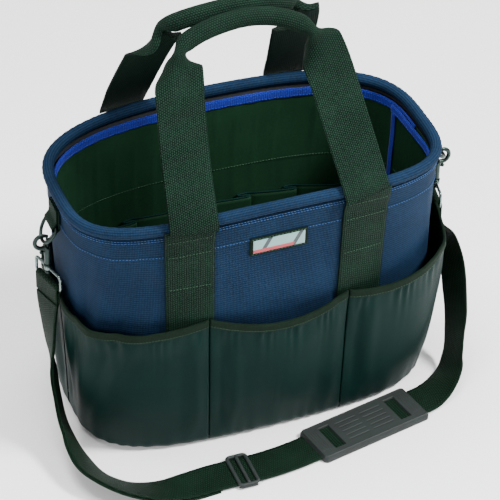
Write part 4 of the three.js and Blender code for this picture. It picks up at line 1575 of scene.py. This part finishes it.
    def hook(self) -> None:
        """Builds the hook's casting: crook, barrel, collar and swivel neck."""
        x, r = -self.bolt_x, self.eye_radius
        arc = [(r * math.cos(a), 0, r * math.sin(a)) for a in np.radians(np.arange(-112, 123, 13))]
        line = Spline([(x, 0, -12), (x + 1.2, 0, -9)] + arc + [(x - 0.4, 0, 5.6)]).at(np.linspace(0, 1, 90))
        girth = np.interp(np.linspace(0, 1, 90), [0, 0.12, 0.5, 0.85, 1], [3.0, 2.5, 2.2, 2.1, 1.7])
        crook = tube_object(f"{self.name}_crook", self.hung(line), girth, 16, hint=(0, 1, 0))
        barrel = [(0.01, -28), (3.0, -28), (3.5, -27.4), (3.6, -26.5), (3.6, -12), (3.5, -9), (3.1, -8.2),
                  (2.2, -8.1), (2.1, -9.5), (0.01, -9.5)]
        collar = [(0.01, -30.4), (3.9, -30.4), (4.5, -30.0), (4.5, -29.0), (3.9, -28.4), (0.01, -28.4)]
        foot = [(0.01, -39.5), (2.2, -39.5), (3.2, -38.6), (3.2, -37.4), (2.4, -36.8), (1.6, -36.6),
                (1.6, -28), (0.01, -28)]
        upright = lambda p: self.hung(p + np.array([x, 0, 0]))
        turned = [turned_object(f"{self.name}_hook_{i}", profile, upright)
                  for i, profile in enumerate((barrel, collar, foot))]
        body = joined([crook, *turned], f"{self.name}_hook_casting")
        dress(body, DARK_NICKEL, f"{self.name}_hook", f"{self.name}_hook_body")
        turn, low, high = np.linspace(0, 2 * math.pi * self.coils, 150), -24.4, -15.6
        coil = np.stack([x + self.coil_radius * np.cos(turn), self.coil_radius * np.sin(turn),
                         np.linspace(low, high, 150)], -1)
        spring = tube_object(f"{self.name}_bolt_coil", self.hung(coil), self.coil_wire, 6)
        dress(spring, BRIGHT_NICKEL, f"{self.name}_hook", f"{self.name}_bolt_spring")

    def bolt(self) -> None:
        """Builds the sliding bolt with its rounded tip and thumb knob."""
        x = -self.bolt_x
        upright = lambda p: self.hung(p + np.array([x, 0, 0]))
        profile = [(0.01, -15), (self.rod, -15), (self.rod, 2.6), (1.2, 3.3), (0.01, 3.5)]
        rod = turned_object(f"{self.name}_rod", profile, upright)
        line = np.array([[x + reach, 0, self.stem_z] for reach in (0.5, 3, 5.6)])
        stem = tube_object(f"{self.name}_stem", self.hung(line), 0.95, 10)
        turn = np.linspace(-0.5 * math.pi, 0.5 * math.pi, 9)
        knob = [(max(2.1 * math.cos(a), 0.01), 2.1 * math.sin(a)) for a in turn]
        thumb = turned_object(f"{self.name}_thumb", knob,
                              lambda p: self.hung(p + np.array([x + 6.4, 0, self.stem_z])), 18)
        bolt = joined([rod, stem, thumb], f"{self.name}_bolt_rod")
        dress(bolt, DARK_NICKEL, f"{self.name}_bolt", f"{self.name}_hook_bolt")

    def bail(self) -> None:
        """Builds the swivel's wire bail and its boss."""
        w, drop, c = self.bail_half, self.bail_drop, self.bail_corner
        corners = ((-w + c, -c, 0.5), (-w + c, -drop + c, 1.0), (w - c, -drop + c, 1.5), (w - c, -c, 2.0))
        flat = rounded_loop(corners, c, 6)
        path = self.swivelled(filled_in(np.column_stack([0 * flat[:, 0], flat]), 1.5))
        wire = tube_object(f"{self.name}_bail_loop", path, self.bail_wire, 14, closed=True, hint=(1, 0, 0))
        profile = [(2.2, -2.2), (3.7, -2.2), (4.2, -1.6), (4.2, 1.6), (3.7, 2.2), (2.2, 2.2)]
        boss = turned_object(f"{self.name}_boss", profile, self.swivelled)
        bail = joined([wire, boss], f"{self.name}_bail_wire")
        dress(bail, BRIGHT_NICKEL, f"{self.name}_bail", f"{self.name}_swivel_bail")

    def strap_loop(self) -> None:
        """Builds the sewn webbing loop on the bail's lower bar."""
        r = self.bail_wire + 0.5 + self.strap_thickness / 2
        arc = [(r * math.cos(a), r * math.sin(a)) for a in np.linspace(0, 1.2 * math.pi, 18)]
        path = [(r, -19.5), (r, -8)] + arc + [(-0.6, -4.6), (r - 2.2, -8.5), (r - 1.9, -19.5)]
        line = Spline(path).at(np.linspace(0, 1, 60)) + np.array([0, -self.bail_drop])
        loop = self.ribbon(f"{self.name}_loop_web", line, self.strap_width, self.strap_thickness - 0.1,
                           self.swivelled)
        self.loop = dress(loop, STRAP_WEBBING, f"{self.name}_bail", f"{self.name}_strap_loop")


# ---- shoulder strap ---------------------------------------------------------------------------------


@dataclass
class ShoulderStrap:
    """The webbing strap on its resting route, its moulded pad and its slider."""

    width: float = 38.0
    thickness: float = 1.6
    # Rows of x, y, z and the direction of the strap's width, from the left hook to the right one.
    route: tuple[tuple[float, ...], ...] = (
        (-207.5, 0.5, 156.6, 0.26, -0.97, 0), (-208.2, -0.8, 146, 0.2, -0.98, 0),
        (-209.2, -5, 128, 0.07, -1, 0), (-210.3, -13, 102, -0.1, -1, 0),
        (-211.2, -24, 78, -0.33, -0.9, 0.2), (-211.4, -36, 53, -0.34, -0.85, 0.4),
        (-210.8, -49, 32, -0.36, -0.7, 0.6), (-208.2, -66, 20, -0.45, -0.45, 0.75),
        (-205.8, -87, 14.6, -0.6, -0.26, 0.7), (-201.5, -110, 13, -0.68, -0.3, 0.62),
        (-192, -128, 12.6, -0.6, -0.55, 0.58), (-176, -144, 10.8, -0.45, -0.75, 0.48),
        (-157, -153, 8, -0.22, -0.9, 0.33), (-136, -157, 5, -0.05, -0.98, 0.16),
        (-112, -155.5, 3, 0.05, -1, 0.03), (-88, -153.6, 2.6, 0.02, -1, 0), (-70, -153.5, 2.8, 0, -1, 0),
        (-40, -153.5, 2.8, 0, -1, 0), (-14, -151.8, 2.8, 0.12, -0.99, 0), (16, -147.2, 2.9, 0.2, -0.98, 0),
        (88, -131.9, 2.9, 0.21, -0.98, 0), (156, -117.5, 2.9, 0.23, -0.97, 0),
        (174, -111.5, 4, 0.36, -0.93, 0.08), (189.5, -102, 7.6, 0.36, -0.85, 0.28),
        (201, -92, 12.5, 0.3, -0.83, 0.42), (207.5, -83.5, 19, 0.2, -0.84, 0.48),
        (212, -77, 28, 0.13, -0.87, 0.47), (216.5, -67.5, 43, 0.13, -0.92, 0.35),
        (220.3, -58.9, 63, 0.2, -0.96, 0.17), (222, -49.5, 82, 0.25, -0.97, 0.04),
        (223.3, -40, 102, 0.27, -0.96, 0), (223.3, -29, 121, 0.25, -0.97, 0),
        (221.3, -18.8, 140, 0.12, -0.99, 0), (216.4, -11.4, 152, -0.08, -1, 0),
        (213.2, -8.6, 161.4, -0.17, -0.98, 0))
    pad_centre: tuple[float, float] = (88.0, -131.9)
    pad_turn: float = math.atan2(14.9, 70)
    pad_size: tuple[float, float, float] = (131.0, 51.0, 8.0)
    pad_corner: float = 5.0
    window_x: float = 41.0
    line_pitch: float = 6.6
    rib_pitch: float = 2.6
    slider_centre: tuple[float, float] = (-55.0, -153.5)
    slider_half: tuple[float, float] = (9.9, 21.4)
    slider_corner: float = 3.5

    def frames(self, shares: np.ndarray) -> tuple[np.ndarray, np.ndarray, np.ndarray]:
        """Places along the strap.

        Args:
            shares: Fractions of its length.

        Returns:
            The middle line, the width's direction and the outward direction.
        """
        rows = np.array(self.route)
        middle = Spline(rows[:, :3])
        places = middle.even(shares)
        here = middle.sample(places)
        along = unit(np.gradient(middle.sample(np.linspace(0, 1, 2000)), axis=0))
        way = np.stack([np.interp(places, np.linspace(0, 1, 2000), along[:, k]) for k in range(3)], -1)
        across = Spline(rows[:, 3:]).sample(places)
        across = unit(across - way * np.sum(across * way, axis=1, keepdims=True))
        return here, across, np.cross(across, way)

    def strip(self, name: str, shares: np.ndarray, lift: float, shift: float = 0.0) -> bpy.types.Object:
        """Makes one layer of the strap.

        Args:
            name: The object's name.
            shares: Fractions of the strap's length that it covers.
            lift: Distance of its middle from the route, outwards.
            shift: How far it has slipped sideways.

        Returns:
            The new object.
        """
        here, across, up = self.frames(shares)
        x = np.linspace(-0.5, 0.5, 13) * self.width + shift
        curl = 0.5 * (2 * x / self.width) ** 2 - 0.2
        sides = []
        for sign in (1, -1):
            height = lift + sign * (self.thickness - 0.1) / 2 + curl * 0.4
            sides.append(here[:, None] + across[:, None] * x[None, :, None]
                         + up[:, None] * height[None, :, None])
        return sheet_object(name, sides[0], sides[1])

    def build(self, loops: Sequence[bpy.types.Object]) -> None:
        """Args:
            loops: The webbing loops on both bails.
        """
        shares = np.linspace(0, 1, 420)
        strap = dress(self.strip("strap_web", shares, 0.0), STRAP_WEBBING, "bag", "shoulder_strap")
        extras = [self.pad(), self.slider(), self.doubled(), *loops]

    def doubled(self) -> bpy.types.Object:
        """Builds the strap's returning layer, from the left hook to the slider."""
        layer = self.strip("strap_return", np.linspace(0.002, 0.415, 190), -1.9, 1.5)
        return dress(layer, STRAP_WEBBING, "bag")

    def on_floor(self, centre: tuple[float, float], turn: float) -> Callable:
        """Gives the map from a piece's own space to its place on the floor.

        Args:
            centre: X and Y of the piece.
            turn: How far it is turned, in radians.

        Returns:
            A function that maps points.
        """
        def place(points: np.ndarray) -> np.ndarray:
            """Turns the points and moves them to the piece's centre."""
            x = points[..., 0] * math.cos(turn) - points[..., 1] * math.sin(turn) + centre[0]
            y = points[..., 0] * math.sin(turn) + points[..., 1] * math.cos(turn) + centre[1]
            return np.stack([x, y, points[..., 2]], -1)
        return place

    def pad(self) -> bpy.types.Object:
        """Builds the moulded pad: windows over the webbing, raised lines and ribbed end.

        Returns:
            The piece.
        """
        (length, width, height), corner = self.pad_size, self.pad_corner
        x = np.linspace(-1, 1, 330)[None, :]
        y = np.linspace(-1, 1, 130)[:, None]
        px, py = x * length / 2 + 0 * y, y * width / 2 + 0 * x
        # Rows that reach into a corner are pulled onto its arc.
        over_x = np.maximum(np.abs(px) - (length / 2 - corner), 0)
        over_y = np.maximum(np.abs(py) - (width / 2 - corner), 0)
        cornered = (over_x > 0) & (over_y > 0)
        pull = np.maximum(over_x, over_y) / np.maximum(np.hypot(over_x, over_y), 1e-6)
        pull = np.where(cornered, pull, 1.0)
        px = px - np.sign(px) * over_x * (1 - pull)
        py = py - np.sign(py) * over_y * (1 - pull)
        over_x, over_y = over_x * pull, over_y * pull
        cornered = (over_x > 0) & (over_y > 0)
        edge = corner - np.where(cornered, np.hypot(over_x, over_y), np.maximum(over_x, over_y))
        edge = np.where(edge < corner, edge, np.minimum(length / 2 - np.abs(px), width / 2 - np.abs(py)))
        far_x, far_y = np.abs(px), np.abs(py)
        lip = smooth(edge, 0.6, 1.6) * (1 - smooth(edge, 2.4, 3.4))
        z = height - 0.8 - 3.4 * (1 - smooth(edge, 0, 3.2)) ** 2 + 0.5 * lip
        lines = np.abs((py / self.line_pitch + 0.5) % 1 - 0.5) * self.line_pitch
        run = smooth(28 - far_x, 0, 1.2) * smooth(far_x - 2.2, 0, 1.0) * smooth(19 - far_y, 0, 1)
        z = z - 0.3 * (1 - smooth(lines, 0.3, 1.0)) * run
        window = smooth(6.5 - np.abs(far_x - self.window_x), 0, 0.9) * smooth(17 - far_y, 0, 0.9)
        z = z - 2.8 * window
        ribs = np.abs((px / self.rib_pitch + 0.5) % 1 - 0.5) * self.rib_pitch
        end = smooth(far_x - 51, 0, 1) * smooth(61 - far_x, 0, 1) * smooth(15 - far_y, 0, 1)
        z = z + 0.3 * (1 - smooth(ribs, 0.3, 0.8)) * end
        top = np.stack([px, py, z], -1)
        low = np.stack([px, py, 0.15 + 0 * z], -1)
        place = self.on_floor(self.pad_centre, self.pad_turn)
        body = sheet_object("pad_moulding", place(top), place(low))
        dress(body, SOFT_RUBBER, "pad", "shoulder_pad")
        webs = []
        for side in (-1, 1):
            wx = side * self.window_x + np.linspace(-6.2, 6.2, 12)[None, :]
            wy = np.linspace(-16.6, 16.6, 28)[:, None]
            grid = np.stack([wx + 0 * wy, wy + 0 * wx, 5.1 + 0 * wx * wy], -1)
            under = grid - np.array([0, 0, 0.6])
            webs.append(sheet_object(f"pad_window_web_{side}", place(grid), place(under)))
        dress(joined(webs, "pad_window_webbing"), STRAP_WEBBING, "pad")
        return body

    def slider(self) -> bpy.types.Object:
        """Builds the three-bar slider with its thumb lug.

        Returns:
            The piece.
        """
        (x, y), corner = self.slider_half, self.slider_corner
        place = self.on_floor(self.slider_centre, 0.0)
        corners = ((x - corner, y - corner, 0.0), (-x + corner, y - corner, 0.5),
                   (-x + corner, -y + corner, 1.0), (x - corner, -y + corner, 1.5))
        flat = rounded_loop(corners, corner, 7)
        loop = place(filled_in(np.column_stack([flat, np.full(len(flat), 4.6)]), 2))
        outer = tube_object("slider_loop", loop, 1.9, 12, closed=True, section=(1.05, 0.75))
        bar = np.stack([np.zeros(20), np.linspace(-20.5, 20.5, 20), np.full(20, 4.9)], -1)
        middle = tube_object("slider_bar", place(bar), 1.7, 12, section=(1.1, 0.7))
        rails = []
        for side in (-1, 1):
            line = np.stack([np.linspace(-8.5, 8.5, 12), np.full(12, side * y), np.full(12, 2.4)], -1)
            rails.append(tube_object(f"slider_rail_{side}", place(line), 2.0, 12, section=(1, 1.1)))
        lug = np.stack([np.linspace(-11.6, 8, 24), np.full(24, -22.0), np.full(24, 2.8)], -1)
        girth = np.interp(np.linspace(0, 1, 24), [0, 0.1, 0.9, 1], [0.5, 1.5, 1.5, 0.5])
        tongue = tube_object("slider_lug", place(lug), girth, 12)
        slider = joined([outer, middle, *rails, tongue], "slider_moulding")
        return dress(slider, SOFT_RUBBER, "slider", "strap_slider")


# ---- studio -----------------------------------------------------------------------------------------


@dataclass
class Studio:
    """A plain pale floor, soft lights and the camera."""

    eye: tuple[float, float, float] = (-0.75798, -1.94358, 1.81324)
    forward: tuple[float, float, float] = (0.28762, 0.72885, -0.62133)
    right: tuple[float, float, float] = (0.93453, -0.35555, 0.01552)
    up: tuple[float, float, float] = (0.20960, 0.58511, 0.78340)
    lens: float = 187.2
    sky: float = 0.55
    # Name, place and size in metres, and watts of each soft box.
    lamps: tuple[tuple[str, tuple[float, float, float], float, float], ...] = (
        ("key", (1.25, -0.85, 1.9), 0.5, 120), ("fill", (-1.9, -1.2, 1.2), 0.9, 36),
        ("top", (-0.3, 0.35, 2.6), 1.4, 85))

    def build(self) -> None:
        """Builds the floor, world, lights and camera."""
        bpy.ops.mesh.primitive_plane_add(size=12, location=(0, 0, -0.0004))
        floor = bpy.context.object
        floor.name = "floor"
        paper = bpy.data.materials.new("pale paper")
        paper.use_nodes = True
        tree = paper.node_tree
        tree.nodes.clear()
        fibre = add_node(tree, "ShaderNodeTexNoise", {"Scale": 30.0})
        tone = add_node(tree, "ShaderNodeMapRange", [fibre, 0.0, 1.0, 0.92, 0.94])
        shader = add_node(tree, "ShaderNodeBsdfPrincipled", {"Base Color": tone, "Roughness": 0.9})
        add_node(tree, "ShaderNodeOutputMaterial", [shader])
        floor.data.materials.append(paper)
        world = bpy.data.worlds.new("studio")
        world.use_nodes = True
        sky = world.node_tree.nodes["Background"]
        sky.inputs["Color"].default_value = (1, 1, 1, 1)
        sky.inputs["Strength"].default_value = self.sky
        bpy.context.scene.world = world
        for lamp in self.lamps:
            self.light(*lamp)
        self.camera()

    def light(self, name: str, place: tuple[float, float, float], size: float, power: float) -> None:
        """Adds one soft box that faces the bag.

        Args:
            name: The light's name.
            place: Where it stands.
            size: Its width and height.
            power: Its power in watts.
        """
        data = bpy.data.lights.new(name, "AREA")
        data.size, data.energy = size, power
        lamp = bpy.data.objects.new(name, data)
        lamp.location = place
        lamp.rotation_euler = (Vector((0, 0, 0.2)) - Vector(place)).to_track_quat("-Z", "Y").to_euler()
        bpy.context.scene.collection.objects.link(lamp)

    def camera(self) -> None:
        """Adds the camera."""
        data = bpy.data.cameras.new("camera")
        data.lens, data.sensor_width = self.lens, 36.0
        camera = bpy.data.objects.new("camera", data)
        axes = Matrix((self.right, self.up, [-c for c in self.forward])).transposed().to_4x4()
        camera.matrix_world = Matrix.Translation(Vector(self.eye)) @ axes
        bpy.context.scene.collection.objects.link(camera)
        bpy.context.scene.camera = camera


def outer_pockets(face: Face) -> list[OuterPocket]:
    """Lists the pockets of a long face.

    Args:
        face: The face.

    Returns:
        Its left, middle and right pocket.
    """
    first, second = PLAN.front_turn(-73), PLAN.front_turn(75)
    return [OuterPocket(face, "left", 0.0, first, 166, 169, 3, 1, 9),
            OuterPocket(face, "middle", first, second, 169, 165, 14, 1, 9),
            OuterPocket(face, "right", second, 0.5, 165, 204, 8, 1.5, 13)]


def main() -> None:
    """Builds the bag piece by piece."""
    logging.basicConfig(level=logging.INFO, format="%(name)s: %(message)s")
    Studio().build()
    ends = [EndHardware(End.LEFT, 1.0, 246.0, 31.0, 15.0), EndHardware(End.RIGHT, -8.0, 249.0, 48.0, -10.0)]
    for hardware in ends:
        hardware.build()
        log.info("%s end hardware", hardware.name)
    ShoulderStrap().build([hardware.loop for hardware in ends])
    log.info("shoulder strap")
    for piece in (Shell(), Lining(), InnerPockets(Face.REAR), InnerPockets(Face.FRONT), Badge()):
        piece.build()
        log.info("%s", type(piece).__name__)
    for face in Face:
        for pocket in outer_pockets(face):
            pocket.build()
        HandleTails(face).build()
        CarryHandle(face).build()
        log.info("%s pockets, tails and handle", face.value)
    coat("rim_core", CELL_FOAM)
    coat("base_board", BASE_BOARD)


if __name__ == "__main__":
    main()
